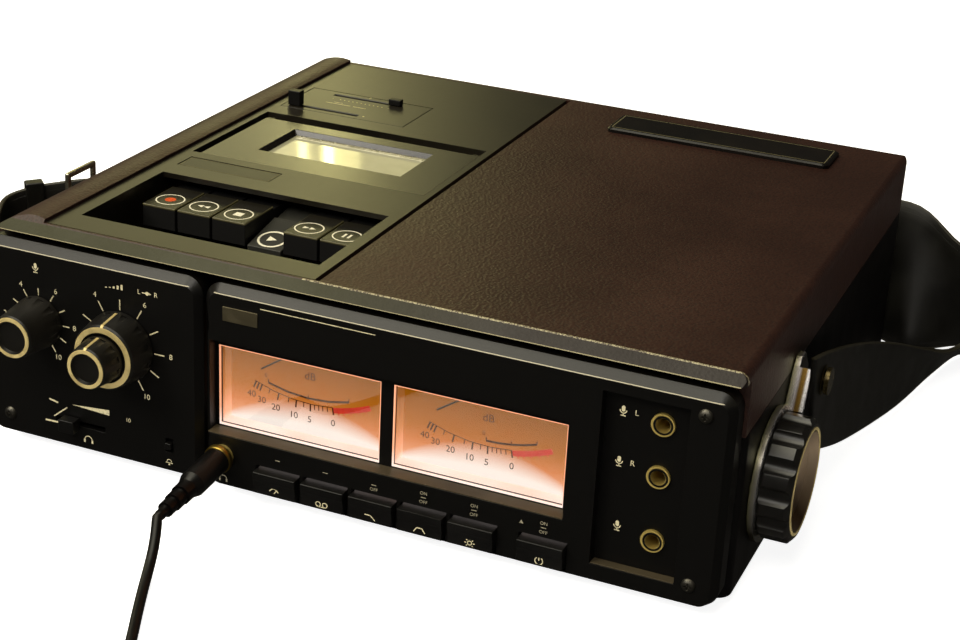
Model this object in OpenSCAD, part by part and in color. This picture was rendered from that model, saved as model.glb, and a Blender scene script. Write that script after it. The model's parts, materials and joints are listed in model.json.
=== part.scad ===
// Portable cassette recorder with twin meters, a covered cassette deck and a shoulder strap.
// Millimetres. X to the right, Y to the back, Z up. The feet stand on Z = 0.

/* [Case] */
// Overall width of the case
case_w = 350; // [345:1:365]
// Depth from the front panel face to the back
case_d = 311; // [306:1:325]
// Height of the deck above the table
deck_z = 108.5; // [106:0.5:112]
// Height of the rubber feet
foot_h = 5; // [4:0.5:6]
// Wall thickness of the mouldings
wall = 2.5; // [2.2:0.1:2.8]
// Radius of the rounded left shoulder
shoulder_r = 24.5; // [22:0.5:26]
// Rise of the left rail above the deck
rail_rise = 2; // [1.4:0.2:2.4]
// Radius of the top edge on the right and at the back
edge_r = 4; // [3:0.5:5]
// Radius of the case corners seen from above
corner_r = 7; // [5:0.5:9]
// Height of the joint between the top cover and the lower case
split_z = 79; // [74:1:80]
// Gap between fixed mouldings
fit = 0.3; // [0.2:0.05:0.4]
// Radial clearance of running shafts
run = 0.05; // [0.03:0.01:0.08]

/* [Front blocks] */
// Depth of the front blocks
block_t = 12; // [11.5:0.5:14]
// Thickness of a block's face
face_t = 3; // [2.5:0.1:3.5]
// Width of the left control block
left_block_w = 111.7; // [110:0.1:112]
// Gap between the two blocks
block_gap = 1.4; // [1:0.1:2]
// Set-in of the blocks from the case sides
block_set = 1.5; // [1:0.1:2]
// Height of the lip below the deck
lip_drop = 5; // [4:0.5:6]
// Set-back of the lip behind the panel face
lip_set = 2; // [1.5:0.5:3]
// Depth of the sloping front edge
slope_run = 5.5; // [5:0.5:6]
// Dark gap between the lip and the blocks
lip_gap = 3.5; // [2.5:0.5:4]
// Depth of the bevel round a block
bevel_run = 6.5; // [5:0.5:7]
// Inset of a block's face by the bevel
bevel_in = 3; // [2:0.5:4]
// Corner radius of a block
block_r = 8; // [6:0.5:9]

/* [Meters] */
// Height of a meter window
meter_h = 38; // [36:0.5:39]
// Space between the two meters
meter_gap = 6; // [5:0.5:7]
// Depth of the recess that holds the meters
recess_d = 8; // [7:0.5:8.5]
// Height of the windows' lower edge above the table
meter_z = 31.5; // [31:0.5:34]
// Length of a meter needle from its pivot
needle_l = 27; // [25:0.5:29]

/* [Controls] */
// Radius of the outer input level knob
outer_knob_r = 16.5; // [15:0.5:18]
// Height of the outer input level knob
outer_knob_h = 14; // [12:0.5:15]
// Radius of the inner input level knob
inner_knob_r = 10.5; // [9.5:0.5:11]
// Height of the inner input level knob
inner_knob_h = 12.5; // [10:0.5:14]
// Radius of the blend level knob
blend_knob_r = 12; // [11:0.5:13]
// Height of the blend level knob
blend_knob_h = 21; // [18:0.5:23]
// Number of flutes round a level knob
flutes = 12; // [8:1:16]
// Height of a switch paddle
paddle_h = 11.5; // [10:0.5:12]
// Space between two switch paddles
paddle_space = 2.6; // [2.2:0.1:4]
// Radius of a jack's bore
jack_bore_r = 3.2; // [3.18:0.01:3.25]
// Radius of a jack's ring
jack_ring_r = 4.9; // [4.6:0.1:5.2]

/* [Deck] */
// Width of the seam beside the deck panel
seam_w = 2.4; // [2:0.1:2.8]
// Spacing of the transport keys
key_pitch = 18.35; // [18:0.05:18.6]
// Width of a transport key
key_w = 17.2; // [16.4:0.2:17.4]
// Travel of a transport key in degrees
key_travel = 11; // [8:0.5:12]
// Depth of the key tops below the deck
key_sink = 6; // [5:0.5:7]
// Width of the cassette lid
lid_w = 120.2; // [118:0.2:121]
// Depth of the cassette lid
lid_d = 67.7; // [66:0.2:68.5]
// Thickness of the cassette lid
lid_t = 3; // [2.6:0.1:3.4]
// Spacing of the two tape spindles
spindle_gap = 42.5; // [42:0.1:43]

/* [Strap lugs] */
// Radius of a lug knob
lug_r = 26.8; // [25:0.2:28]
// Thickness of a lug knob
lug_t = 13.4; // [12:0.2:15]
// Radius of a bracket's disc
disc_r = 29.2; // [28.5:0.1:31]
// Thickness of a bracket
bracket_t = 2.5; // [2:0.1:3]
// Radius of a lug stud
stud_r = 4; // [3.5:0.1:4.5]
// Distance from the lug to the strap peg
peg_u = 48; // [46:0.5:50]
// Lean of the right bracket towards the back in degrees
lean_right = 46; // [44:1:48]
// Lean of the left bracket towards the back in degrees
lean_left = 44; // [42:1:46]
// Thickness of the strap
strap_t = 2.4; // [2:0.1:3]

/* [Lead] */
// Diameter of the lead
lead_d = 4.5; // [4.5:0.1:4.8]
// Radius of the plug's grip
plug_r = 6; // [5.5:0.1:6.4]
// Turns in each layer of the coil
coil_turns = 2.875; // [2.875:1:3.875]
// Step from one turn to the next
coil_step = 5; // [5:0.1:5.4]

/* [Hidden] */

$fn = 48;
eps = 0.01;
big = 500;

left = -case_w / 2;
right = case_w / 2;
front = -case_d / 2;
back = case_d / 2;

// Top cover
rail_z = deck_z + rail_rise;
shoulder_x = left + shoulder_r;
shoulder_z = rail_z - shoulder_r;
rail_in = left + 30.3;
lip_z = deck_z - lip_drop;
lip_y = front + lip_set;
crest_y = lip_y + slope_run;
slope_top_y = lip_y + slope_run * (rail_z - lip_z) / lip_drop;
skirt_y = front + block_t + fit;

// Deck panel
deck_x0 = rail_in + fit;
well_side = 8.1;
well_right = 5.7;
key_side = 6;
key_right = 3.55;
well_w = 5 * key_pitch + key_w + key_side + key_right;
lid_side_left = 8;
lid_side_right = 4.2;
deck_w = max(lid_w + lid_side_left + lid_side_right, well_w + well_side + well_right);
deck_x1 = deck_x0 + deck_w;
deck_y0 = crest_y + 1.5;
deck_y1 = back - 6.5;
panel_z = deck_z - wall;
ledge_left = 2.2;
ledge_right = 4.4;
ledge_end = 3;

// Key well, its keys and their rod
well_x0 = deck_x0 + well_side;
well_x1 = well_x0 + well_w;
well_y0 = front + 24.3;
well_y1 = well_y0 + 68;
well_floor_z = deck_z - 29;
well_wall = 2;
key_x0 = well_x0 + key_side + key_w / 2;
key_front = well_y0 + 40.4;
key_rod_y = well_y1 + 23;
key_rod_z = deck_z - 13;
key_rod_r = 2;
key_top = deck_z - key_sink;
key_body_h = 8;
key_nose_h = 11;
key_tail = 4;

// Cassette well, its lid and the parts below it
hatch_x0 = deck_x0 + lid_side_left - 3.6;
hatch_x1 = hatch_x0 + lid_w + 4.2;
hatch_y0 = well_y1 + 33.2;
hatch_y1 = hatch_y0 + 75.5;
hatch_wall = 1.5;
lid_x0 = hatch_x0 + 3.4;
lid_x1 = lid_x0 + lid_w;
lid_y0 = hatch_y0 + 0.8;
lid_y1 = lid_y0 + lid_d;
lid_top = deck_z - 0.8;
lid_bottom = lid_top - lid_t;
hinge_y = lid_y1 + 1.5;
hinge_z = lid_bottom - 0.7;
hinge_r = 1.5;
ear_r = 3.4;
ear_w = 4;
pane_w = 73.4;
pane_d = 34.2;
pane_x0 = lid_x0 + 23.7;
pane_y0 = lid_y0 + 21.8;
pane_t = 1.5;
pane_lap = 2.2;
deck_cx = (lid_x0 + lid_x1) / 2;
spindle_y = lid_y0 + 34.5;
chassis_t = 2;
chassis_z = deck_z - 20.5;
chassis_low = chassis_z - chassis_t;
shaft_r = 1.5;
reel_r = 12;
reel_t = 2;
hub_r = 4.8;
hub_top = chassis_z + 9;
capstan_x = deck_cx + 20;
roller_r = 5.5;
roller_pin_r = 1;
bridge_y0 = hatch_y0 + 5.6;
bridge_d = 8;
bridge_t = 1.7;
roller_y = bridge_y0 + bridge_d - 2.2;
tape_gap = 0.35;
capstan_y = roller_y + roller_r + shaft_r + tape_gap;
flywheel_r = 32;
flywheel_t = 8;
flywheel_low = chassis_low - 45;
flywheel_top = flywheel_low + flywheel_t;
sleeve_r = 4;
motor_r = 16;
motor_h = 34;
motor_x = capstan_x - 60;
motor_y = capstan_y + 25;
pulley_r = 6;
belt_t = 1;
belt_h = 5;
belt_z = flywheel_low + (flywheel_t - belt_h) / 2;

// Counter panel
counter_x0 = deck_x0 + 4.8;
counter_w = 71.6;
counter_y0 = front + 213.8;
counter_d = 38.4;
counter_t = 1.2;
slider_slot_x0 = counter_x0 + 15.6;
slider_slot_w = 40;
slider_slot_y = counter_y0 + 32.6;
slider_w = 7;
lever_slot_x0 = counter_x0 + 3;
lever_slot_w = 40;
lever_slot_y = counter_y0 + 5.6;
lever_w = 7;
lever_h = 8;
slot_w = 2.6;
stem_w = 2;
foot_t = 1.5;

// Name bar on the cover, left blank
bar_x0 = right - 149.5;
bar_w = 117.5;
bar_y0 = back - 47.5;
bar_d = 27;
bar_t = 2.4;

// Front blocks
block_z0 = foot_h + 1;
block_z1 = lip_z - lip_gap;
left_block_x0 = left + block_set;
left_block_x1 = left_block_x0 + left_block_w;
right_block_x0 = left_block_x1 + block_gap;
right_block_x1 = right - block_set;
rim_t = 3;
bevel_low = 0.8;
jack_set = 31.2;
jack_x = right - jack_set;
jack_recess_x0 = jack_x - 24.3;
recess_side = 1.6;
recess_low = 1;
recess_high = 5.5;
meter_x0 = right_block_x0 + 3.4;
meter_right = 15.7;
meter_w = (jack_recess_x0 - meter_right - meter_x0 - meter_gap) / 2;
meter_x1 = meter_x0 + meter_w + meter_gap;
recess_x0 = meter_x0 - recess_side;
recess_x1 = meter_x1 + meter_w + 3;
recess_z0 = meter_z - recess_low;
recess_z1 = meter_z + meter_h + recess_high;
recess_y = front + recess_d;
lens_t = 2;
housing_y = front + block_t + fit;
housing_d = 26;
housing_wall = 1.5;
housing_high = 8;
housing_sill = 0.6;
housing_top_w = 24;
pivot_z = meter_z + meter_h + 4;
dial_y = housing_y + 7;
dial_t = 1;
needle_y = dial_y - 3;
needle_t = 0.8;
needle_park = 56;
needle_w = 0.7;
pivot_r = 1;
needle_hub_r = 3;
jack_zs = [28.7, 57.6, 80.7];
jack_recess_d = 5;
jack_recess_x1 = jack_x + 11.7;
jack_recess_z0 = block_z0 + 8;
jack_recess_z1 = block_z1 - 8;
jack_floor_y = front + jack_recess_d;
jack_proud = 1.2;
jack_depth = 20;
jack_body = 12;
phones_x = right_block_x0 + 9.7;
phones_z = 21.3;
paddle_x0 = right_block_x0 + 36.5;
power_extra = 7.9;
paddle_right = 10.3;
paddle_pitch = (jack_recess_x0 - paddle_right - power_extra + paddle_space / 2 - paddle_x0) / 5.5;
paddle_w = paddle_pitch - paddle_space;
paddle_z0 = block_z0 + 2;
paddle_proud = 4;
paddle_gap = 0.5;
paddle_axle_y = front + 5.5;
paddle_axle_r = 1.2;
paddle_throw = 6;
input_x = left + 73.5;
input_z = 62;
blend_x = left + 31.5;
blend_z = 65;
inner_shaft_r = 1.6;
outer_shaft_r = 3;
bushing_r = 4.5;
pot_r = 9;
pot_d = 16;
pot_y = front + face_t + fit;
knob_gap = 0.6;
phones_slot_x0 = left + 38;
phones_slot_w = 26;
phones_slot_z = 18.6;
phones_knob_w = 8;
alarm_x = left + 97.2;
alarm_z = 19.1;
screw_set = 13.4;
screw_zs = [block_z0 + 9.4, block_z1 - 9.4];
screw_r = 3.1;
screw_hole_r = 1.6;

// Lower case and battery compartment
base_top = split_z - fit;
opening_rim = 11;
opening_low = 8;
battery_w = case_w - 100;
battery_d = 72;
battery_h = 36;
battery_y1 = back - wall - 4;
battery_y0 = battery_y1 - battery_d;
door_rim = 5;
door_t = 2;
door_w = battery_w + 2 * door_rim;
door_y0 = battery_y0 - door_rim;
door_z0 = foot_h + 0.2;
door_tongue = 1.5;
door_slot_z = door_z0 + door_t + 0.2;
foot_r = 9;
foot_in_x = 30;
foot_in_y = 34;
board_x0 = left + 50;
board_x1 = right - 30;
board_y0 = front + 48;
board_y1 = battery_y0 - 12;
board_z = foot_h + 19;
board_t = 1.6;
boss_r = 4;
boss_in = 8;

// Strap lugs
lug_y = front + 57;
lug_z = 43;
lug_gap = 0.4;
lug_x = lug_gap + bracket_t + lug_gap;
lug_boss_r = 9;
lug_boss_l = 10;
lug_flutes = 13;
flute_r = 4.5;
dish_r = 21.5;
ring_r = 22.8;
arm_w = 30;
peg_r = 3.4;
peg_v = 6;
peg_l = 14.2;
flange_in = 2.5;
flange_out = 8;
flange_u = 28.2;
flange_w = 7.8;

// Strap edges as they lie on the table, from the bracket to behind the case
right_top = [[185, -80, 90], [185.2, -52, 82], [187, -10, 69], [191, 25, 57.5], [198, 54, 47],
    [207, 92, 31], [217, 120, 22], [232, 135, 38], [235, 154, 52], [226, 168, 57],
    [206, 170, 60], [180, 182, 73], [150, 183, 72], [90, 178, 66], [40, 172, 60], [9, 170, 58]];
right_low = [[185, -67, 41], [185.5, -54, 36], [188, -16, 23], [193, 31, 12.5], [199, 76, 6],
    [206, 124, 4], [214, 160, 3], [226, 161, 2.5], [237, 166, 8], [231, 172, 6],
    [212, 170, 3], [190, 153, 2.5], [168, 161, 3], [90, 177, 18], [40, 172, 12], [9, 170, 12]];
left_top = [[-185, -82, 90], [-185, -62, 92], [-186.5, -48, 91], [-195, -43, 88], [-205, -47, 86],
    [-216, -55, 84], [-224, -66, 81], [-219, -81, 78], [-208, -100, 72], [-203, -124, 64],
    [-205, -144, 56], [-216, -160, 51], [-230, -152, 50], [-236, -124, 50], [-236, -60, 50],
    [-236, 20, 50], [-235, 90, 50], [-226, 145, 53], [-198, 172, 56], [-150, 178, 57],
    [-90, 174, 58], [-40, 171, 58], [-12.3, 170, 58]];
left_low = [[-185, -67, 44], [-185, -58, 45], [-186.5, -48, 44], [-195, -43, 41], [-205, -46, 39],
    [-215, -54, 36], [-222, -65, 33], [-217, -80, 29], [-207, -99, 24], [-203, -123, 16],
    [-206, -144, 8], [-217, -159, 3], [-230, -151, 2], [-235, -123, 2], [-235, -60, 2],
    [-235, 20, 2], [-234, 89, 2.5], [-225, 144, 6], [-197, 171, 9], [-150, 177, 10],
    [-90, 174, 11], [-40, 171, 12], [-12.3, 170, 12]];
strap_smooth = 3;
strap_case_w = 350;
strap_case_d = 311;
strap_front_y = -40;
buckle_w = 24;
buckle_y = back + 14.5;
buckle_z0 = 9.5;
buckle_z1 = 61;
buckle_bar = 4;
buckle_t = 5;

// The lead: plug, free stretch on the table and stored coil
plug_l = 50;
plug_droop = 5;
plug_collar_t = 1.6;
plug_body_l = 24;
plug_tail_r = 3.4;
plug_ribs = 3;
plug_tip_l = 18;
lead_r = lead_d / 2;
plug_set = 0.8;
plug_mouth = [phones_x, front - jack_proud - plug_set, phones_z];
plug_dir = [0, -cos(plug_droop), -sin(plug_droop)];
lead_start = plug_mouth + plug_l * plug_dir;
coil_c = [-34, -330];
coil_a0 = 25;
coil_r0 = 30.5;
coil_dir = [sin(coil_a0), -cos(coil_a0), 0];
coil_in = [coil_c[0] + coil_r0 * cos(coil_a0), coil_c[1] + coil_r0 * sin(coil_a0), lead_r];
coil_start = coil_in - lead_d * coil_dir;
coil_rings = 24;
coil_climb = 0.5;
coil_total = 2 * coil_turns + coil_climb;
coil_gap = 0.5;
lead_route = [lead_start + 2 * plug_dir, lead_start + 5 * plug_dir, [-45.5, -219, 12.2], [-41, -227, 8],
    [-37.5, -236, 4.6], [-34, -245, 2.9], [-30.5, -258, lead_r], [-24.5, -271, lead_r],
    [-20.5, -282, lead_r], [-16.5, -294, lead_r], coil_start - 8 * coil_dir, coil_start - 2 * coil_dir];
lead_smooth = 3;

// Curve helpers: a smooth curve through points, and a tube or a band along it
function mix4(a, b, c, d, t) = 0.5 * (2 * b + (c - a) * t + (2 * a - 5 * b + 4 * c - d) * t * t
    + (3 * b - a - 3 * c + d) * t * t * t);
function at(p, i) = i < 0 ? 2 * p[0] - p[1]
    : i >= len(p) ? 2 * p[len(p) - 1] - p[len(p) - 2] : p[i];
function smooth(p, n) = concat([for (i = [0 : len(p) - 2]) for (k = [0 : n - 1])
    mix4(at(p, i - 1), p[i], p[i + 1], at(p, i + 2), k / n)], [p[len(p) - 1]]);
function unit(v) = v / norm(v);
function tangent(p, i) = unit(at(p, i + 1) - at(p, i - 1));
function ring(c, t, r, sides) = let (s = unit(cross(t, [0, 0, 1])), u = cross(s, t))
    [for (k = [0 : sides - 1]) c + r * (cos(360 * k / sides) * s + sin(360 * k / sides) * u)];
function grid_faces(rings, sides) = concat(
    [for (i = [0 : rings - 2]) for (k = [0 : sides - 1]) let (a = i * sides, b = (k + 1) % sides)
        each [[a + k, a + b, a + sides + k], [a + b, a + sides + b, a + sides + k]]],
    [for (k = [1 : sides - 2]) [0, k + 1, k]],
    [for (k = [1 : sides - 2]) let (a = (rings - 1) * sides) [a, a + k, a + k + 1]]);
module tube(path, r, sides) {
    pts = [for (i = [0 : len(path) - 1]) each ring(path[i], tangent(path, i), r, sides)];
    polyhedron(points = pts, faces = grid_faces(len(path), sides));
}
// Edge points follow the case: beside it they keep their distance, behind it they spread with it
function strap_x(x) = x + sign(x) * (case_w - strap_case_w) / 2 * min(abs(x) / (strap_case_w / 2), 1);
function strap_y(y) = y + (case_d - strap_case_d) / 2 * (y <= strap_front_y ? -1
    : y >= strap_case_d / 2 ? 1
    : 2 * (y - strap_front_y) / (strap_case_d / 2 - strap_front_y) - 1);
function strap_edge(p) = [for (q = p) [strap_x(q[0]), strap_y(q[1]), q[2]]];
module band(top_edge, low_edge, t) {
    a = smooth(strap_edge(top_edge), strap_smooth);
    b = smooth(strap_edge(low_edge), strap_smooth);
    mid = (a + b) / 2;
    pts = [for (i = [0 : len(a) - 1]) let (n = unit(cross(tangent(mid, i), a[i] - b[i])) * t / 2)
        each [a[i] + n, a[i] - n, b[i] - n, b[i] + n]];
    polyhedron(points = pts, faces = grid_faces(len(a), 4));
}

// Shape helpers
module box(x0, x1, y0, y1, z0, z1) translate([x0, y0, z0]) cube([x1 - x0, y1 - y0, z1 - z0]);
module flat_round(x0, x1, y0, y1, r) {
    translate([x0 + r, y0]) square([x1 - x0 - 2 * r, y1 - y0]);
    translate([x0, y0 + r]) square([x1 - x0, y1 - y0 - 2 * r]);
    for (x = [x0 + r, x1 - r]) for (y = [y0 + r, y1 - r]) translate([x, y]) circle(r);
}
module along_x(x0, x1) translate([x0, 0, 0]) rotate([90, 0, 90]) linear_extrude(x1 - x0) children();
module along_y(y0, y1) translate([0, y1, 0]) rotate([90, 0, 0]) linear_extrude(y1 - y0) children();
module rod_x(x0, x1, y, z, r) translate([x0, y, z]) rotate([0, 90, 0]) cylinder(h = x1 - x0, r = r);
module rod_y(y0, y1, x, z, r) translate([x, y1, z]) rotate([90, 0, 0]) cylinder(h = y1 - y0, r = r);
module rod_z(z0, z1, x, y, r) translate([x, y, z0]) cylinder(h = z1 - z0, r = r);

// Lower case: a moulded tub with a front opening, board bosses, lug bosses and a battery bay
module case_plan(inset) flat_round(left + inset, right - inset, skirt_y + inset, back - inset,
    corner_r - inset);
module bottom_case() color("#15110f") difference() {
    union() {
        difference() {
            translate([0, 0, foot_h]) linear_extrude(base_top - foot_h) case_plan(0);
            translate([0, 0, foot_h + wall]) linear_extrude(base_top) case_plan(wall);
            box(left + opening_rim, right - opening_rim, skirt_y - 1, skirt_y + wall + 1,
                foot_h + opening_low, base_top + 1);
        }
        box(-battery_w / 2 - wall, battery_w / 2 + wall, battery_y0 - wall, battery_y1 + wall,
            foot_h, foot_h + battery_h + 2 * wall);
        box(-door_w / 2 - 2 * wall, door_w / 2 + 2 * wall, door_y0 - wall, back - wall / 2,
            foot_h, door_slot_z + wall);
        for (x = [board_x0 + boss_in, board_x1 - boss_in])
            for (y = [board_y0 + boss_in, board_y1 - boss_in])
                rod_z(foot_h + wall / 2, board_z, x, y, boss_r);
        rod_x(left + wall / 2, left + lug_boss_l, lug_y, lug_z, lug_boss_r);
        rod_x(right - lug_boss_l, right - wall / 2, lug_y, lug_z, lug_boss_r);
    }
    box(-battery_w / 2, battery_w / 2, battery_y0, battery_y1, foot_h - 1, foot_h + battery_h);
    box(-door_w / 2 - fit, door_w / 2 + fit, door_y0 - fit, back + 1, foot_h - 1, door_slot_z);
    box(-door_w / 2 - door_tongue - fit, door_w / 2 + door_tongue + fit, door_y0 - fit, back + 1,
        door_z0 + door_t / 2 - 0.2, door_slot_z);
    rod_x(left - 1, left + lug_boss_l + 1, lug_y, lug_z, stud_r + run);
    rod_x(right - lug_boss_l - 1, right + 1, lug_y, lug_z, stud_r + run);
}

// Battery door: a plate with side tongues and finger ribs, which slides out at the back
module battery_door() color("#171311") difference() {
    union() {
        box(-door_w / 2, door_w / 2, door_y0, back - 0.4, door_z0, door_z0 + door_t);
        box(-door_w / 2 - door_tongue, door_w / 2 + door_tongue, door_y0, back - 0.4,
            door_z0 + door_t / 2, door_z0 + door_t);
    }
    for (k = [0 : 4]) box(-18, 18, back - 12 - 4 * k, back - 10 - 4 * k, door_z0 - 1, door_z0 + 0.6);
}

// Four rubber feet under the corners
module feet() color("#0c0c0c") for (x = [left + foot_in_x, right - foot_in_x])
    for (y = [front + foot_in_y, back - foot_in_y]) translate([x, y, 0]) rotate_extrude()
        polygon([[0, 0], [foot_r - 1.5, 0], [foot_r, 1.5], [foot_r, foot_h], [0, foot_h]]);

// Main circuit board on its four bosses
module circuit_board() color("#3c5a2c") difference() {
    union() {
        box(board_x0, board_x1, board_y0, board_y1, board_z, board_z + board_t);
        for (k = [0 : 4]) rod_z(board_z + board_t - eps, board_z + 14, board_x0 + 180 + 14 * k,
            board_y1 - 20, 5);
        box(board_x0 + 30, board_x0 + 90, board_y0 + 10, board_y0 + 20, board_z, board_z + 8);
    }
    rod_z(board_z - 1, board_z + 20, (board_x0 + board_x1) / 2, (board_y0 + board_y1) / 2, 3);
}

// Steel chassis under the cassette well, with a long capstan bearing and spindle holes
module chassis_plate() color("#8a8d90") difference() {
    union() {
        box(hatch_x0 - hatch_wall, hatch_x1 + hatch_wall, hatch_y0 - hatch_wall,
            hatch_y1 + hatch_wall, chassis_low, chassis_z);
        rod_z(flywheel_top + fit, chassis_z, capstan_x, capstan_y, sleeve_r);
        for (s = [-1, 1]) rod_z(chassis_low - 4, chassis_z, deck_cx + s * spindle_gap / 2,
            spindle_y, sleeve_r);
    }
    rod_z(flywheel_top, chassis_z + 1, capstan_x, capstan_y, shaft_r + run);
    for (s = [-1, 1]) rod_z(chassis_low - 5, chassis_z + 1, deck_cx + s * spindle_gap / 2,
        spindle_y, shaft_r + run);
}

// Drive motor hung under the chassis, its pulley, the flywheel with the capstan, and the belt
module drive_motor() color("#9a9a96") difference() {
    union() {
        rod_z(chassis_low - motor_h, chassis_low, motor_x, motor_y, motor_r);
        rod_z(chassis_low - motor_h - 2, chassis_low, motor_x, motor_y, 5);
    }
    rod_z(chassis_low - motor_h - 3, chassis_low - 8, motor_x, motor_y, shaft_r + run);
}
module motor_pulley() color("#b08d3c") union() {
    rod_z(belt_z - 1.2, chassis_low - 9, motor_x, motor_y, shaft_r);
    rod_z(belt_z, belt_z + belt_h, motor_x, motor_y, pulley_r);
    for (z = [belt_z - 1.2, belt_z + belt_h]) rod_z(z, z + 1.2, motor_x, motor_y, pulley_r + 2);
}
module flywheel() color("#7d7f82") union() {
    rod_z(flywheel_low, flywheel_top, capstan_x, capstan_y, flywheel_r);
    rod_z(flywheel_low, hub_top + 3, capstan_x, capstan_y, shaft_r);
}
module belt_outline(grow) hull() {
    translate([capstan_x, capstan_y]) circle(flywheel_r + grow, $fn = 40);
    translate([motor_x, motor_y]) circle(pulley_r + grow, $fn = 40);
}
module drive_belt() color("#1a1a1a") translate([0, 0, belt_z]) linear_extrude(belt_h) difference() {
    belt_outline(fit + belt_t);
    belt_outline(fit);
}

// Reel spindles: a turntable, a splined hub and a shaft in the chassis bearing
module spindle(x) color("#d8d6cf") union() {
    rod_z(chassis_low - 4, hub_top, x, spindle_y, shaft_r);
    rod_z(chassis_z + fit, chassis_z + fit + reel_t, x, spindle_y, reel_r);
    rod_z(chassis_z + fit, hub_top - 2, x, spindle_y, hub_r - 1.6);
    for (k = [0 : 2]) translate([x, spindle_y, chassis_z + fit]) rotate([0, 0, 120 * k + 30])
        translate([-0.6, 0, 0]) cube([1.2, hub_r, hub_top - 4 - chassis_z]);
}
module supply_spindle() spindle(deck_cx - spindle_gap / 2);
module takeup_spindle() spindle(deck_cx + spindle_gap / 2);

// Sliding head bridge with its heads and the pinch roller's post
module head_bridge() color("#b9b7b0") union() {
    box(deck_cx - 36, deck_cx + 36, bridge_y0, bridge_y0 + bridge_d, chassis_z + fit,
        chassis_z + fit + bridge_t);
    box(deck_cx - 7, deck_cx + 7, bridge_y0 + 1, bridge_y0 + bridge_d + 2.5,
        chassis_z + fit + bridge_t - eps, hub_top + 2);
    box(deck_cx - 28, deck_cx - 19, bridge_y0 + 1, bridge_y0 + bridge_d + 1,
        chassis_z + fit + bridge_t - eps, hub_top + 1);
    rod_z(chassis_z + fit, hub_top + 2, capstan_x, roller_y, roller_pin_r);
    rod_z(chassis_z + fit, chassis_z + 3.4, capstan_x, roller_y, 2.4);
}
module pinch_roller() color("#141414") difference() {
    rod_z(chassis_z + 3.7, hub_top + 1, capstan_x, roller_y, roller_r);
    rod_z(chassis_z, hub_top + 2, capstan_x, roller_y, roller_pin_r + run);
}

// Deck panel: a plate with the key well, the cassette well, counter seat and lugs for the key rod
module deck_panel() color("#5b5636") difference() {
    union() {
        box(deck_x0, deck_x1, deck_y0, deck_y1, panel_z, deck_z);
        box(well_x0 - well_wall, well_x1 + well_wall, well_y0 - well_wall, well_y1 + well_wall,
            well_floor_z, panel_z + eps);
        box(hatch_x0 - hatch_wall, hatch_x1 + hatch_wall, hatch_y0 - hatch_wall,
            hatch_y1 + hatch_wall, chassis_z, panel_z + eps);
        for (x = [well_x0 - well_wall, well_x1])
            box(x, x + well_wall, well_y1, key_rod_y + 5, key_rod_z - 5, panel_z + eps);
    }
    box(well_x0, well_x1, well_y0, well_y1, well_floor_z + well_wall, deck_z + 1);
    box(well_x0, well_x1, key_front - 3, well_y1 + well_wall + 1, well_floor_z - 1, panel_z - eps);
    box(hatch_x0, hatch_x1, hatch_y0, hatch_y1, chassis_z - 1, deck_z + 1);
    rod_x(hatch_x0 - big, hatch_x1 + big, key_rod_y, key_rod_z, key_rod_r + run);
    rod_x(hatch_x0 - hatch_wall - 1, hatch_x1 + hatch_wall + 1, hinge_y, hinge_z, hinge_r + run);
    box(counter_x0, counter_x0 + counter_w, counter_y0, counter_y0 + counter_d,
        deck_z - counter_t, deck_z + 1);
    counter_slots(panel_z - 1, deck_z + 1);
    box(well_x0, well_x0 + 50, well_y1 + 12.4, well_y1 + 26, deck_z - 0.8, deck_z + 1);
}

// Pivot rod of the transport keys
module key_rod() color("#c9c9c9")
    rod_x(well_x0 - well_wall, well_x1 + well_wall, key_rod_y, key_rod_z, key_rod_r);

// Transport key: a lever with a flat top, a deep nose and a boss round the rod
module key_lever(index, pressed) {
    x = key_x0 + index * key_pitch;
    translate([x, key_rod_y, key_rod_z]) rotate([pressed, 0, 0]) translate([-x, -key_rod_y, -key_rod_z])
    difference() {
        union() {
            box(x - key_w / 2, x + key_w / 2, key_front, key_rod_y, key_top - key_body_h, key_top);
            box(x - key_w / 2, x + key_w / 2, key_front, key_front + 3, key_top - key_nose_h, key_top);
            rod_x(x - key_w / 2, x + key_w / 2, key_rod_y, key_rod_z, key_tail);
        }
        rod_x(x - key_w, x + key_w, key_rod_y, key_rod_z, key_rod_r + run);
        box(x - key_w / 2 + 2, x + key_w / 2 - 2, key_front + 3, key_rod_y - 8, key_top - big,
            key_top - 2);
        box(x - key_w, x + key_w, well_y1 - 1, key_rod_y + key_tail, key_top - 1.5, key_top + 1);
    }
}
module record_key() color("#1c1a14") key_lever(0, 0);
module rewind_key() color("#1c1a14") key_lever(1, 0);
module stop_key() color("#1c1a14") key_lever(2, 0);
module play_key() color("#77776f") key_lever(3, key_travel);
module forward_key() color("#1c1a14") key_lever(4, 0);
module pause_key() color("#1c1a14") key_lever(5, 0);

// Cassette lid with a bevelled window, side skirts and moulded hinge trunnions
module cassette_lid() color("#635f3c") difference() {
    union() {
        box(lid_x0, lid_x1, lid_y0, lid_y1, lid_bottom, lid_top);
        for (x = [lid_x0, lid_x1 - 1.6])
            box(x, x + 1.6, lid_y0, lid_y1 - 8, lid_bottom - 4, lid_bottom + eps);
        for (x = [lid_x0, lid_x1 - ear_w]) {
            rod_x(x, x + ear_w, hinge_y, hinge_z, ear_r);
            box(x, x + ear_w, lid_y1 - 4, hinge_y, hinge_z - ear_r, lid_bottom + eps);
        }
        rod_x(hatch_x0 - hatch_wall + 0.2, lid_x0 + eps, hinge_y, hinge_z, hinge_r);
        rod_x(lid_x1 - eps, hatch_x1 + hatch_wall - 0.2, hinge_y, hinge_z, hinge_r);
    }
    hull() {
        box(pane_x0, pane_x0 + pane_w, pane_y0, pane_y0 + pane_d, lid_bottom - 1, lid_bottom + 1);
        box(pane_x0 - 2, pane_x0 + pane_w + 2, pane_y0 - 2, pane_y0 + pane_d + 2, lid_top, lid_top + 1);
    }
}
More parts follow.
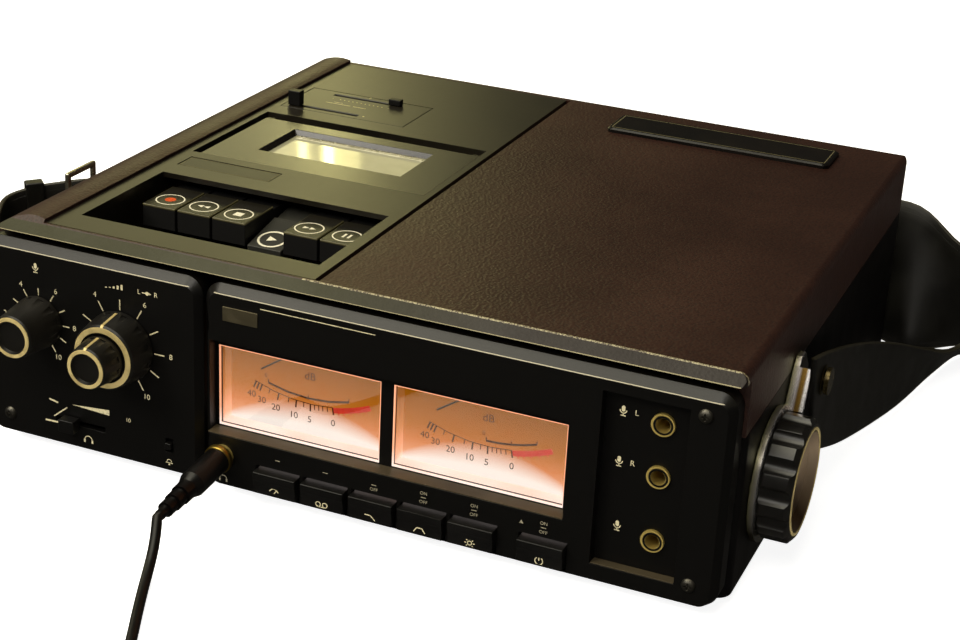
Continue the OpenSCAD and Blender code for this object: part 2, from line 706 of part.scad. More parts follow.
module lid_window() color("#b9b48c", 0.5) box(pane_x0 - pane_lap, pane_x0 + pane_w + pane_lap,
    pane_y0 - pane_lap, pane_y0 + pane_d + pane_lap, lid_bottom - pane_t, lid_bottom);

// Counter panel with two slots, and the two sliding knobs
module counter_slots(z0, z1) {
    box(slider_slot_x0, slider_slot_x0 + slider_slot_w, slider_slot_y - slot_w / 2,
        slider_slot_y + slot_w / 2, z0, z1);
    box(lever_slot_x0, lever_slot_x0 + lever_slot_w, lever_slot_y - slot_w / 2,
        lever_slot_y + slot_w / 2, z0, z1);
}
module counter_panel() color("#57532f") difference() {
    box(counter_x0 + fit, counter_x0 + counter_w - fit, counter_y0 + fit,
        counter_y0 + counter_d - fit, deck_z - counter_t, deck_z);
    counter_slots(deck_z - 2, deck_z + 1);
}
module slot_knob(x, y, w, d, h) union() {
    box(x - w / 2, x + w / 2, y - d / 2, y + d / 2, deck_z + fit, deck_z + h);
    box(x - w / 2 + 1, x + w / 2 - 1, y - stem_w / 2, y + stem_w / 2, panel_z - fit - foot_t,
        deck_z + h - eps);
    box(x - w / 2, x + w / 2, y - 3, y + 3, panel_z - fit - foot_t, panel_z - fit);
}
module counter_slider() color("#141310") slot_knob(slider_slot_x0 + slider_slot_w - slider_w / 2,
    slider_slot_y, slider_w, 4, 3.4);
module counter_lever() color("#141310") slot_knob(lever_slot_x0 + lever_w / 2, lever_slot_y,
    lever_w, 5, lever_h);

// Top cover: rounded left rail, right and back skirts, sloping front lip and a ledge for the deck
module cover_section(inset) {
    intersection() {
        translate([shoulder_x, shoulder_z]) circle(shoulder_r - inset, $fn = 96);
        translate([left, split_z - 1]) square([rail_in - left, big]);
    }
    translate([left + inset, split_z - 1]) square([shoulder_r - inset, shoulder_z - split_z + 1]);
    translate([shoulder_x - eps, split_z - 1])
        square([case_w - shoulder_r - edge_r + eps, deck_z - inset - split_z + 1]);
    translate([right - edge_r - eps, split_z - 1])
        square([edge_r - inset + eps, deck_z - edge_r - split_z + 1]);
    translate([right - edge_r, deck_z - edge_r]) circle(edge_r - inset);
}
module cover_side() {
    polygon([[skirt_y, split_z], [skirt_y, lip_z], [lip_y, lip_z], [slope_top_y, rail_z],
        [back - edge_r, rail_z], [back - edge_r, deck_z], [back, deck_z - edge_r], [back, split_z]]);
    intersection() {
        translate([back - edge_r, deck_z - edge_r]) circle(edge_r);
        translate([back - edge_r, deck_z - edge_r]) square(edge_r);
    }
}
module top_cover() color("#2a1d16") difference() {
    union() {
        difference() {
            intersection() {
                along_y(front, back) cover_section(0);
                along_x(left, right) cover_side();
                translate([0, 0, split_z]) linear_extrude(big)
                    flat_round(left, right, front, back, corner_r);
            }
            intersection() {
                along_y(skirt_y + wall, back - wall) cover_section(wall);
                translate([0, 0, split_z - 1]) linear_extrude(deck_z - wall - split_z + 1)
                    flat_round(left + wall, right - wall, skirt_y + wall, back - wall, corner_r - wall);
            }
        }
        box(rail_in - 3, deck_x1 + seam_w + 3, deck_y0 - fit - 1, deck_y1 + fit + 1,
            panel_z - wall, deck_z - eps);
    }
    box(rail_in, deck_x1 + seam_w, deck_y0 - fit, deck_y1 + fit, panel_z, rail_z + 1);
    box(rail_in + ledge_left, deck_x1 + seam_w - ledge_right, deck_y0 + ledge_end,
        deck_y1 - ledge_end, split_z, deck_z + 1);
    box(jack_recess_x0 - 3, jack_recess_x1 + 3, skirt_y - 1, skirt_y + wall + 1, split_z - 1,
        jack_recess_z1 + 2);
}

// Raised blank bar on the back of the cover
module name_bar() color("#1a1512") hull() {
    translate([0, 0, deck_z]) linear_extrude(bar_t - 0.8)
        flat_round(bar_x0, bar_x0 + bar_w, bar_y0, bar_y0 + bar_d, 3, $fn = 32);
    translate([0, 0, deck_z + bar_t - eps]) linear_extrude(eps)
        flat_round(bar_x0 + 1, bar_x0 + bar_w - 1, bar_y0 + 1, bar_y0 + bar_d - 1, 3, $fn = 32);
}

// Front blocks: bevelled shells with rounded corners
module block_shell(x0, x1) difference() {
    hull() {
        along_y(front + bevel_run, front + block_t)
            flat_round(x0, x1, block_z0, block_z1, block_r, $fn = 32);
        along_y(front, front + bevel_run) flat_round(x0 + bevel_in, x1 - bevel_in,
            block_z0 + bevel_low, block_z1 - bevel_in, block_r - bevel_in, $fn = 32);
    }
    box(x0 + rim_t + bevel_in, x1 - rim_t - bevel_in, front + face_t, front + block_t + 1,
        block_z0 + rim_t + bevel_in - 2, block_z1 - rim_t - bevel_in);
}
module screw_hole(x, z) rod_y(front - 1, front + block_t + 1, x, z, screw_hole_r + 0.1);
module screw_pad(x, z) rod_y(front + 1, front + block_t, x, z, 5);
module left_control_block() color("#120f0e") difference() {
    union() {
        block_shell(left_block_x0, left_block_x1);
        screw_pad(left + screw_set, screw_zs[0]);
    }
    screw_hole(left + screw_set, screw_zs[0]);
    rod_y(front - 1, front + block_t, input_x, input_z, bushing_r + 0.1);
    rod_y(front - 1, front + block_t, blend_x, blend_z, bushing_r + 0.1);
    box(phones_slot_x0, phones_slot_x0 + phones_slot_w, front - 1, front + block_t,
        phones_slot_z - slot_w / 2, phones_slot_z + slot_w / 2);
    box(alarm_x - 1.9, alarm_x + 1.9, front - 1, front + block_t, alarm_z - 3.4, alarm_z + 3.4);
}
function paddle_x(k) = paddle_x0 + k * paddle_pitch + (k == 5 ? power_extra : 0);
module right_meter_block() color("#120f0e") difference() {
    union() {
        block_shell(right_block_x0, right_block_x1);
        box(recess_x0 - 1, recess_x1 + 2, front + face_t - eps, front + block_t,
            recess_z0 - 2, recess_z1 + 2);
        box(jack_recess_x0 - 2, jack_recess_x1 + 2, front + face_t - eps, jack_floor_y + 3,
            jack_recess_z0 - 2, jack_recess_z1 + 2);
        for (z = screw_zs) screw_pad(right - screw_set, z);
    }
    for (z = screw_zs) screw_hole(right - screw_set, z);
    box(recess_x0, recess_x1, front - 1, recess_y, recess_z0, recess_z1);
    for (x = [meter_x0, meter_x1]) box(x, x + meter_w, front, front + block_t + 1, meter_z,
        meter_z + meter_h);
    box(jack_recess_x0, jack_recess_x1, front - 1, jack_floor_y, jack_recess_z0, jack_recess_z1);
    for (z = jack_zs) rod_y(front, front + block_t, jack_x, z, jack_ring_r + 0.1);
    rod_y(front - 1, front + block_t, phones_x, phones_z, jack_ring_r + 0.1);
    for (k = [0 : 5]) box(paddle_x(k) - paddle_w / 2 - paddle_gap, paddle_x(k) + paddle_w / 2 + paddle_gap,
        front - 1, front + block_t + 1, paddle_z0 - 1, paddle_z0 + paddle_h + 1);
    for (k = [0 : 5]) rod_x(paddle_x(k) - paddle_w / 2 - 1.3, paddle_x(k) + paddle_w / 2 + 1.3,
        paddle_axle_y, paddle_z0 + paddle_h / 2, paddle_axle_r + run);
}

// Meters: lamp housings, scale plates, windows and needles
module housing_outline(x, grow) {
    translate([x - grow, meter_z - housing_sill - grow])
        square([meter_w + 2 * grow, meter_h + housing_sill + 2 * grow]);
    translate([x + meter_w / 2 - housing_top_w / 2 - grow, meter_z + meter_h - 1])
        square([housing_top_w + 2 * grow, housing_high + 1 + grow]);
}
module housing_at(x) difference() {
    along_y(housing_y, housing_y + housing_d) housing_outline(x, housing_wall);
    along_y(housing_y - 1, housing_y + housing_d - housing_wall) housing_outline(x, 0);
}
module meter_housings() color("#e8e2d2") for (x = [meter_x0, meter_x1]) union() {
    housing_at(x);
    rod_y(needle_y - 1.2, housing_y + housing_d - 1, x + meter_w / 2, pivot_z, pivot_r);
}
module meter_dials() color("#f3b06a") for (x = [meter_x0, meter_x1]) difference() {
    along_y(dial_y, dial_y + dial_t) housing_outline(x, -0.1);
    rod_y(dial_y - 1, dial_y + dial_t + 1, x + meter_w / 2, pivot_z, pivot_r + 0.1);
}
module meter_lenses() color("#ffd9a0", 0.4) for (x = [meter_x0, meter_x1])
    box(x + 0.1, x + meter_w - 0.1, recess_y, recess_y + lens_t, meter_z + 0.1, meter_z + meter_h - 0.1);
module needle_at(x) {
    cx = x + meter_w / 2;
    translate([cx, 0, pivot_z]) rotate([0, needle_park, 0]) difference() {
        union() {
            box(-needle_w / 2, needle_w / 2, needle_y, needle_y + needle_t, -needle_l, 0);
            rod_y(needle_y, needle_y + 1.6, 0, 0, needle_hub_r);
        }
        rod_y(needle_y - 1, needle_y + 3, 0, 0, pivot_r + run);
    }
}
module left_needle() color("#15110d") needle_at(meter_x0);
module right_needle() color("#15110d") needle_at(meter_x1);

// Level controls: two potentiometers behind the panel and three fluted knobs
module level_pots() color("#8f8f8a") {
    difference() {
        union() {
            rod_y(pot_y, pot_y + pot_d, input_x, input_z, pot_r);
            rod_y(front + 0.4, pot_y + 1, input_x, input_z, bushing_r);
        }
        rod_y(front - 1, pot_y + 8, input_x, input_z, outer_shaft_r + run);
        rod_y(front - 1, pot_y + 13, input_x, input_z, inner_shaft_r + run);
    }
    difference() {
        union() {
            rod_y(pot_y, pot_y + pot_d, blend_x, blend_z, pot_r);
            rod_y(front + 0.4, pot_y + 1, blend_x, blend_z, bushing_r);
        }
        rod_y(front - 1, pot_y + 10, blend_x, blend_z, outer_shaft_r + run);
    }
}
module fluted(y0, y1, x, z, r, r_front, dish) difference() {
    translate([x, y1, z]) rotate([90, 0, 0]) rotate_extrude() polygon([[0, 0], [r, 0], [r, 2],
        [r_front, y1 - y0 - 1], [r_front - 1, y1 - y0], [dish, y1 - y0], [dish - 0.6, y1 - y0 - 1.4],
        [0, y1 - y0 - 1.4]]);
    for (k = [0 : flutes - 1]) translate([x, 0, z]) rotate([0, 360 / flutes * (k + 0.5), 0])
        rod_y(y0 - 1, y1 - 2, 0, r + 1.9, 2.6);
}
module input_outer_knob() color("#181614") difference() {
    union() {
        fluted(front - knob_gap - outer_knob_h, front - knob_gap, input_x, input_z, outer_knob_r,
            outer_knob_r - 1.5, inner_knob_r + 1);
        rod_y(front - knob_gap - 2, pot_y + 7, input_x, input_z, outer_shaft_r);
    }
    rod_y(front - big, pot_y + 9, input_x, input_z, inner_shaft_r + run);
}
module input_inner_knob() color("#181614") union() {
    fluted(front - 2 * knob_gap - outer_knob_h - inner_knob_h, front - 2 * knob_gap - outer_knob_h,
        input_x, input_z, inner_knob_r, inner_knob_r - 1, inner_knob_r - 3.4);
    rod_y(front - knob_gap - outer_knob_h - 2, pot_y + 12, input_x, input_z, inner_shaft_r);
}
module blend_knob() color("#181614") union() {
    fluted(front - knob_gap - blend_knob_h, front - knob_gap, blend_x, blend_z, blend_knob_r,
        blend_knob_r - 2, blend_knob_r - 4.4);
    rod_y(front - knob_gap - 2, pot_y + 9, blend_x, blend_z, outer_shaft_r);
}

// Small sliding controls on the left block
module phones_slider() color("#0e0d0c") union() {
    x = phones_slot_x0 + phones_slot_w / 2 - 4;
    box(x - phones_knob_w / 2, x + phones_knob_w / 2, front - 6, front - fit, phones_slot_z - 3,
        phones_slot_z + 3);
    box(x - 2, x + 2, front - fit - 1, front + face_t + fit + foot_t, phones_slot_z - stem_w / 2,
        phones_slot_z + stem_w / 2);
    box(x - 4, x + 4, front + face_t + fit, front + face_t + fit + foot_t, phones_slot_z - 3.2,
        phones_slot_z + 3.2);
}
module alarm_switch() color("#0e0d0c") union() {
    box(alarm_x - 1.6, alarm_x + 1.6, front - 1.6, front + face_t + fit + foot_t, alarm_z - 1.6,
        alarm_z + 1.6);
    box(alarm_x - 4, alarm_x + 4, front + face_t + fit, front + face_t + fit + foot_t, alarm_z - 5,
        alarm_z + 5);
}

// Switch paddles: wide rockers with a rounded top edge on moulded axle pins
module paddle(k) {
    x = paddle_x(k);
    z = paddle_z0 + paddle_h / 2;
    union() {
        difference() {
            box(x - paddle_w / 2, x + paddle_w / 2, front - paddle_proud, front + 9, paddle_z0 + 0.6,
                paddle_z0 + paddle_h - 0.6);
            rod_x(x - paddle_w, x + paddle_w, front - paddle_proud - 11, paddle_z0 + 3, 12);
        }
        rod_x(x - paddle_w / 2 - 1, x + paddle_w / 2 + 1, paddle_axle_y, z, paddle_axle_r);
    }
}
module meter_switch() color("#141211") paddle(0);
module tape_switch() color("#141211") paddle(1);
module filter_switch() color("#141211") paddle(2);
module limiter_switch() color("#141211") paddle(3);
module lamp_switch() color("#141211") paddle(4);
module power_switch() color("#141211") paddle(5);

// Jack sockets: a ring in the panel and a body behind it
module jack(x, z, y) difference() {
    union() {
        rod_y(y - jack_proud, front + block_t + 1, x, z, jack_ring_r);
        box(x - jack_body / 2, x + jack_body / 2, front + block_t + fit, front + block_t + 16,
            z - jack_body / 2, z + jack_body / 2);
    }
    rod_y(y - jack_proud - 1, y - jack_proud + jack_depth, x, z, jack_bore_r);
}
module mic_jacks() color("#a8923c") for (z = jack_zs) jack(jack_x, z, jack_floor_y);
module phones_jack() color("#a8923c") jack(phones_x, phones_z, front);

// Cross-head screws that hold the blocks
module screw(x, z) difference() {
    union() {
        translate([x, front, z]) rotate([90, 0, 0]) rotate_extrude()
            polygon([[0, 0], [screw_r, 0], [screw_r - 0.5, 0.9], [screw_r - 1.6, 1.5], [0, 1.6]]);
        rod_y(front - 0.5, front + block_t, x, z, screw_hole_r);
    }
    for (a = [0, 90]) translate([x, front - 1.6, z]) rotate([0, a, 0])
        cube([3.2, 2, 0.7], center = true);
}
module front_screws() color("#6d6a66") {
    screw(left + screw_set, screw_zs[0]);
    for (z = screw_zs) screw(right - screw_set, z);
}

// Strap bracket: a disc round the stud, an arm with a bent front flange and a headed strap peg
module bracket(side, lean) translate([side * right, lug_y, lug_z]) mirror([side < 0 ? 1 : 0, 0, 0])
    rotate([-lean, 0, 0]) difference() {
        union() {
            rod_x(lug_gap, lug_gap + bracket_t, 0, 0, disc_r);
            along_x(lug_gap, lug_gap + bracket_t) polygon([[-arm_w / 2, 0], [arm_w / 2, 0],
                [arm_w / 2 - 2, peg_u + 2], [arm_w / 2 - 6, peg_u + 7], [-4, peg_u + 7],
                [-flange_out, peg_u + 3], [-flange_out, peg_u - 2], [-flange_in, flange_u]]);
            along_x(lug_gap, lug_gap + flange_w) polygon([[-flange_in, flange_u],
                [bracket_t - flange_in, flange_u], [bracket_t - flange_out, peg_u - 2],
                [-flange_out, peg_u - 2]]);
            rod_x(lug_gap, lug_gap + peg_l, peg_v, peg_u, peg_r);
            rod_x(lug_gap + peg_l - 2, lug_gap + peg_l, peg_v, peg_u, peg_r + 2.6);
        }
        rod_x(-1, lug_gap + bracket_t + 1, 0, 0, stud_r + run);
    }
module right_bracket() color("#c8c2a8") bracket(1, lean_right);
module left_bracket() color("#c8c2a8") bracket(-1, lean_left);

// Lug knob: a fluted thumb knob with a dished face and a stud into the case
module lug_knob(side) translate([side * right, lug_y, lug_z]) mirror([side < 0 ? 1 : 0, 0, 0])
    difference() {
        union() {
            rotate([0, 90, 0]) rotate_extrude() polygon([[0, lug_x], [lug_r - 1, lug_x],
                [lug_r, lug_x + 1], [lug_r, lug_x + lug_t - 2], [lug_r - 2.6, lug_x + lug_t],
                [dish_r, lug_x + lug_t], [dish_r - 3, lug_x + lug_t - 4], [0, lug_x + lug_t - 5.5]]);
            rod_x(-lug_boss_l, lug_x + 1, 0, 0, stud_r);
        }
        for (k = [0 : lug_flutes - 1]) rotate([360 / lug_flutes * k, 0, 0])
            rod_x(lug_x - 1, lug_x + lug_t + 1, 0, lug_r + 2.2, flute_r);
    }
module right_lug_knob() color("#15130f") lug_knob(1);
module left_lug_knob() color("#15130f") lug_knob(-1);

// Shoulder strap halves, hooked on the brackets and lying on the table behind the case
module peg_hole(side, lean) translate([side * right, lug_y, lug_z])
    mirror([side < 0 ? 1 : 0, 0, 0]) rotate([-lean, 0, 0])
    rod_x(lug_gap, lug_gap + peg_l + 20, peg_v, peg_u, peg_r + 0.8);
module buckle() difference() {
    box(-buckle_w / 2, buckle_w / 2, buckle_y - buckle_t / 2, buckle_y + buckle_t / 2, buckle_z0,
        buckle_z1);
    for (x = [-buckle_w / 2 + buckle_bar, buckle_bar / 2]) box(x, x + buckle_w / 2 - 1.5 * buckle_bar,
        buckle_y - buckle_t, buckle_y + buckle_t, buckle_z0 + 2.5, buckle_z1 - 2.5);
}
module right_strap() color("#1c1b14") union() {
    difference() {
        band(right_top, right_low, strap_t);
        peg_hole(1, lean_right);
    }
    buckle();
}
module left_strap() color("#1c1b14") difference() {
    band(left_top, left_low, strap_t);
    peg_hole(-1, lean_left);
}

// Lead: jack plug with a ribbed strain relief, a stretch on the table, a coil and a second plug
module plug_profile(l) rotate_extrude() polygon([[0, 0], [plug_r - 0.6, 0],
    [plug_r, plug_collar_t], [plug_r, plug_body_l], [plug_r - 1.4, plug_body_l + 4],
    for (k = [0 : plug_ribs - 1]) let (z = plug_body_l + 6 + k * 6, s = k * 0.5)
        each [[plug_tail_r + 1.1 - s, z], [plug_tail_r + 1.1 - s, z + 3.6],
            [plug_tail_r + 0.1 - s, z + 3.8], [plug_tail_r - 0.1 - s, z + 5.8]],
    [lead_r + 0.1, l], [0, l]]);
module lead_plug() color("#14120e") union() {
    translate(plug_mouth) rotate([90 + plug_droop, 0, 0]) plug_profile(plug_l);
    rod_y(front - jack_proud - 1, front - jack_proud + plug_tip_l, phones_x, phones_z,
        jack_bore_r - run);
}
module lead_cord() color("#1b1a14")
    tube(concat([lead_start], smooth(lead_route, lead_smooth), [coil_start]), lead_r, 10);

// Two layers of turns: spiral in, climb half a turn, spiral out
function coil_pos(t) = let (
        a = coil_a0 - 360 * t,
        rise = min(max((t - coil_turns) / coil_climb, 0), 1),
        r = coil_r0 - coil_step * min(t, coil_total - t))
    [coil_c[0] + r * cos(a), coil_c[1] + r * sin(a), lead_r + (lead_d + coil_gap) * rise];
coil_steps = round(coil_total * coil_rings);
coil_loops = [for (i = [0 : coil_steps]) coil_pos(coil_total * i / coil_steps)];
coil_last = coil_loops[coil_steps];
coil_out = unit([coil_last[0] - coil_loops[coil_steps - 1][0],
    coil_last[1] - coil_loops[coil_steps - 1][1], 0]);
coil_path = concat([coil_start], coil_loops, [coil_last + lead_d * coil_out]);
coil_least_gap = min([for (i = [0 : coil_steps]) for (j = [i + 12 : 1 : coil_steps])
    norm(coil_loops[i] - coil_loops[j])]) - lead_d;
echo(coil_least_gap = coil_least_gap);
module lead_coil() color("#1b1a14") tube(coil_path, lead_r, 6);
module lead_end_plug() color("#14120e")
    translate(coil_last + lead_d * coil_out) rotate([0, 0, atan2(coil_out[1], coil_out[0])])
    rotate([0, 90, 0]) union() {
        translate([0, 0, plug_l]) mirror([0, 0, 1]) plug_profile(plug_l);
        translate([0, 0, plug_l - 1]) cylinder(h = plug_tip_l + 10, r = jack_bore_r - run);
    }

bottom_case();
battery_door();
feet();
circuit_board();
chassis_plate();
drive_motor();
motor_pulley();
flywheel();
drive_belt();
supply_spindle();
takeup_spindle();
head_bridge();
pinch_roller();
deck_panel();
key_rod();
record_key();
rewind_key();
stop_key();
play_key();
forward_key();
pause_key();
cassette_lid();
lid_window();
counter_panel();
counter_slider();
counter_lever();
top_cover();
name_bar();
left_control_block();
right_meter_block();
meter_housings();
meter_dials();
meter_lenses();
left_needle();
right_needle();
level_pots();
input_outer_knob();
input_inner_knob();
blend_knob();
phones_slider();
alarm_switch();
meter_switch();
tape_switch();
filter_switch();
limiter_switch();
lamp_switch();
power_switch();
mic_jacks();
phones_jack();
front_screws();
right_bracket();
right_lug_knob();
left_bracket();
left_lug_knob();
right_strap();
left_strap();
lead_plug();
lead_cord();
lead_coil();
lead_end_plug();
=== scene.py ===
import json
from math import asin, cos, degrees, hypot, pi, radians, sin

import bpy
from mathutils import Matrix, Vector
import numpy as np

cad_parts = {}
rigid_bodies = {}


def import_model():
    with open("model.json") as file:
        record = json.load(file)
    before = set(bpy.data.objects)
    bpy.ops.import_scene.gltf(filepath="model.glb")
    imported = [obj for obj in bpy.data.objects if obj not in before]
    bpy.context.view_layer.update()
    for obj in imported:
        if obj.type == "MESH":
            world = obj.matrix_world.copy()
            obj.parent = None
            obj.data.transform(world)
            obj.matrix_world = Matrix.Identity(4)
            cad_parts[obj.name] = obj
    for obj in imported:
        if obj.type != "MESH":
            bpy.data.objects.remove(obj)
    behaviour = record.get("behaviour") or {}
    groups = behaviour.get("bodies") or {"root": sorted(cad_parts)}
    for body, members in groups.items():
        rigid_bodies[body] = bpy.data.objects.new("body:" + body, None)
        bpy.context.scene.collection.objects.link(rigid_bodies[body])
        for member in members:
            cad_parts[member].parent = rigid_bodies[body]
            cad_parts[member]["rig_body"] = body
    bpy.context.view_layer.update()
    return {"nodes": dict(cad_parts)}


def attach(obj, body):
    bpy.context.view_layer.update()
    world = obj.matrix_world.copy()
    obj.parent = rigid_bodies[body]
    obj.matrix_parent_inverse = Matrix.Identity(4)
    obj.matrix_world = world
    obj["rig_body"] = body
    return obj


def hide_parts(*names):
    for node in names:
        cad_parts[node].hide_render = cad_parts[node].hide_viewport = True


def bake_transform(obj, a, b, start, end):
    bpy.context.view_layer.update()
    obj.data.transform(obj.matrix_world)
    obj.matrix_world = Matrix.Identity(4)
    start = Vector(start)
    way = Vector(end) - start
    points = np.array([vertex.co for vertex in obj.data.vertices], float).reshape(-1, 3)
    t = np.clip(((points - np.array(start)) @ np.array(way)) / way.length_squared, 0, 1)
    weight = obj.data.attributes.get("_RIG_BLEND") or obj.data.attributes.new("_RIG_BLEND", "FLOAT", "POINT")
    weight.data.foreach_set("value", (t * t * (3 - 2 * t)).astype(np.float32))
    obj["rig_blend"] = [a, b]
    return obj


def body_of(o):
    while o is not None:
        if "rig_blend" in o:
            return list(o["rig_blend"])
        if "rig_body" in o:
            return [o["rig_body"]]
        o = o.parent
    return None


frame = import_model()

# Camera: a short telephoto above the front right corner, turned a little on its axis,
# so that the recorder leans in the picture as it does in the photograph.


def linked(name, data):
    """A new object in the scene."""
    made = bpy.data.objects.new(name, data)
    bpy.context.collection.objects.link(made)
    return made


camera = linked("camera", bpy.data.cameras.new("camera"))
camera.data.lens = 71.815
camera.data.sensor_width = 36
camera.data.clip_start = 0.01
camera.matrix_world = Matrix((
    (0.918894, -0.197083, 0.341749, 0.3254),
    (0.391501, 0.34885, -0.851487, -0.8011),
    (0.048594, 0.916222, 0.397714, 0.4120),
    (0, 0, 0, 1)))
bpy.context.scene.camera = camera

# Lead: a rubber-sheathed audio lead with a moulded jack plug on each end. One plug sits in the
# headphone socket, and the length that isn't needed is wound into a flat coil held by a tie.
mm = 0.001
lead_d = 4.5 * mm
plug_dip = radians(5)
plug_l = 50 * mm
socket_face = Vector((-50.7, -157.5, 21.3)) * mm
plug_heading = Vector((0, -cos(plug_dip), -sin(plug_dip)))
lead_exit = socket_face + plug_l * plug_heading
coil_middle = Vector((-34, -330, 0)) * mm
coil_first_angle = radians(25)
coil_widest = 30.5 * mm
coil_step = 5 * mm
coil_turns = 6.25
coil_climb = (2.875, 3.375)
coil_layer = lead_d + 0.5 * mm
coil_heading = Vector((sin(coil_first_angle), -cos(coil_first_angle), 0))


def smooth_line(points, steps):
    """A smooth line through given points, with that many steps from one to the next."""
    ends = [2 * points[0] - points[1], *points, 2 * points[-1] - points[-2]]
    line = []
    for a, b, c, d in zip(ends, ends[1:], ends[2:], ends[3:]):
        for k in range(steps):
            t = k / steps
            line.append(0.5 * (2 * b + (c - a) * t + (2 * a - 5 * b + 4 * c - d) * t * t
                               + (3 * b - a - 3 * c + d) * t ** 3))
    return line + [points[-1]]


def coil_point(turn):
    """A point of the coil, wound inwards on the table and back out in a second layer."""
    angle = coil_first_angle - 2 * pi * turn
    radius = coil_widest - coil_step * min(turn, coil_turns - turn)
    rise = min(max((turn - coil_climb[0]) / (coil_climb[1] - coil_climb[0]), 0), 1)
    return coil_middle + Vector((radius * cos(angle), radius * sin(angle),
                                 lead_d / 2 + coil_layer * rise))


coil_start = coil_point(0) - lead_d * coil_heading
on_table = [Vector(point) * mm for point in (
    (-48.4, -214.3, 12.4), (-45.9, -220.7, 8), (-42.9, -228.9, 4.8), (-38.5, -239.9, 2.8),
    (-31.9, -254.4, 2.25), (-24.4, -270.1, 2.25), (-17.8, -284.6, 2.25), (-14.2, -295.2, 2.25))]
loose = [lead_exit + 2 * mm * plug_heading, *on_table,
         coil_start - 8 * mm * coil_heading, coil_start - 2 * mm * coil_heading]
stops_per_turn = 24
coil_stops = round(coil_turns * stops_per_turn)
wound = [coil_point(coil_turns * k / coil_stops) for k in range(coil_stops + 1)]
coil_leaving = (wound[-1] - wound[-2]) * Vector((1, 1, 0))
coil_leaving.normalize()
lead_route = [lead_exit, *smooth_line(loose, 3), coil_start, *wound,
              wound[-1] + lead_d * coil_leaving]

lead_curve = bpy.data.curves.new("lead", "CURVE")
lead_curve.dimensions = "3D"
lead_curve.bevel_depth = lead_d / 2
lead_curve.bevel_resolution = 5
lead_curve.use_fill_caps = True
lead_spline = lead_curve.splines.new("POLY")
lead_spline.points.add(len(lead_route) - 1)
for point, place in zip(lead_spline.points, lead_route):
    point.co = (*place, 1)
lead_spline.use_smooth = True
lead = linked("lead", lead_curve)


def math_node(operation, swapped=False):
    """A sum on a tap, as an operator for its class."""
    def operator(tap, other=0.0):
        first, second = (other, tap) if swapped else (tap, other)
        return tap.finish.node("ShaderNodeMath", {"operation": operation}, {0: first, 1: second})
    return operator


class Tap:
    """One value on its way through a finish; sums on taps add Math nodes."""

    def __init__(self, finish, socket):
        self.finish, self.socket = finish, socket

    __add__ = __radd__ = math_node("ADD")
    __sub__, __rsub__ = math_node("SUBTRACT"), math_node("SUBTRACT", swapped=True)
    __mul__ = __rmul__ = math_node("MULTIPLY")
    __truediv__, __mod__ = math_node("DIVIDE"), math_node("FLOORED_MODULO")
    __lt__, __gt__ = math_node("LESS_THAN"), math_node("GREATER_THAN")
    __abs__ = math_node("ABSOLUTE")


class Finish:
    """A surface finish: one Principled material, with its patterns made of nodes."""

    def __init__(self, name, **constants):
        self.material = bpy.data.materials.new(name)
        self.material.use_nodes = True
        self.tree = self.material.node_tree
        self.shader = self.tree.nodes["Principled BSDF"]
        self.surface(**constants)

    def feed(self, socket, value):
        if isinstance(value, Tap):
            self.tree.links.new(value.socket, socket)
        else:
            socket.default_value = paint(value) if isinstance(value, str) else value

    def node(self, kind, settings=None, sockets=None, output=0):
        made = self.tree.nodes.new(kind)
        for setting, value in (settings or {}).items():
            setattr(made, setting, value)
        for socket, value in (sockets or {}).items():
            self.feed(made.inputs[socket], value)
        return Tap(self, made.outputs[output])

    def cover(self, piece):
        piece.data.materials.clear()
        piece.data.materials.append(self.material)
        return piece

    def surface(self, **taps):
        for socket, value in taps.items():
            self.feed(self.shader.inputs[socket.replace("_", " ")], value)
        return self

    def place(self, output="Object"):
        return self.node("ShaderNodeTexCoord", output=output)

    def axes(self, output="Object"):
        split = self.node("ShaderNodeSeparateXYZ", None, {0: self.place(output)}).socket.node
        return [Tap(self, socket) for socket in split.outputs]

    def noise(self, scale, detail=2.0, stretch=(1, 1, 1)):
        place = self.node("ShaderNodeMapping", None, {"Vector": self.place(), "Scale": stretch})
        return self.node("ShaderNodeTexNoise", None,
                         {"Vector": place, "Scale": scale, "Detail": detail})

    def spread(self, value, low, high, to_low=0.0, to_high=1.0):
        return self.node("ShaderNodeMapRange", None,
                         {0: value, 1: low, 2: high, 3: to_low, 4: to_high})

    def mix(self, amount, first, second):
        return self.node("ShaderNodeMix", {"data_type": "RGBA"},
                         {0: amount, 6: first, 7: second}, 2)

    def ramp(self, value, *stops):
        """A colour that runs through stops, each with its position and its code."""
        tap = self.node("ShaderNodeValToRGB", None, {0: value})
        elements = tap.socket.node.color_ramp.elements
        while len(elements) < len(stops):
            elements.new(1)
        for element, (position, code) in zip(elements, stops):
            element.position, element.color = position, paint(code)
        return tap

    def turn_share(self, first, second):
        """The angle of a point about an axis, as a share of a full turn."""
        angle = self.node("ShaderNodeMath", {"operation": "ARCTAN2"}, {0: second, 1: first})
        return angle / (2 * pi) + 0.5

    def bump(self, height, depth, strength=1.0):
        return self.node("ShaderNodeBump", None,
                         {"Height": height, "Distance": depth, "Strength": strength})


def paint(code):
    """A colour as a painter's code, such as 3a2b1c, in the render's own linear values."""
    steps = [int(code[k:k + 2], 16) / 255 for k in (0, 2, 4)]
    return (*[v / 12.92 if v <= 0.04045 else ((v + 0.055) / 1.055) ** 2.4 for v in steps], 1)


def rubber(name, code, worn, gloss):
    """Matt rubber: an even dark sheath with dull scuffs and a very fine pitting."""
    finish = Finish(name, Specular_IOR_Level=0.3)
    scuff = finish.spread(finish.noise(60, 4), 0.45, 0.7)
    pits = finish.noise(2600, 2)
    tone = finish.mix(scuff, code, worn)
    return finish.surface(Base_Color=tone, Roughness=gloss + 0.15 * scuff,
                          Normal=finish.bump(pits, 0.05 * mm, 0.4))


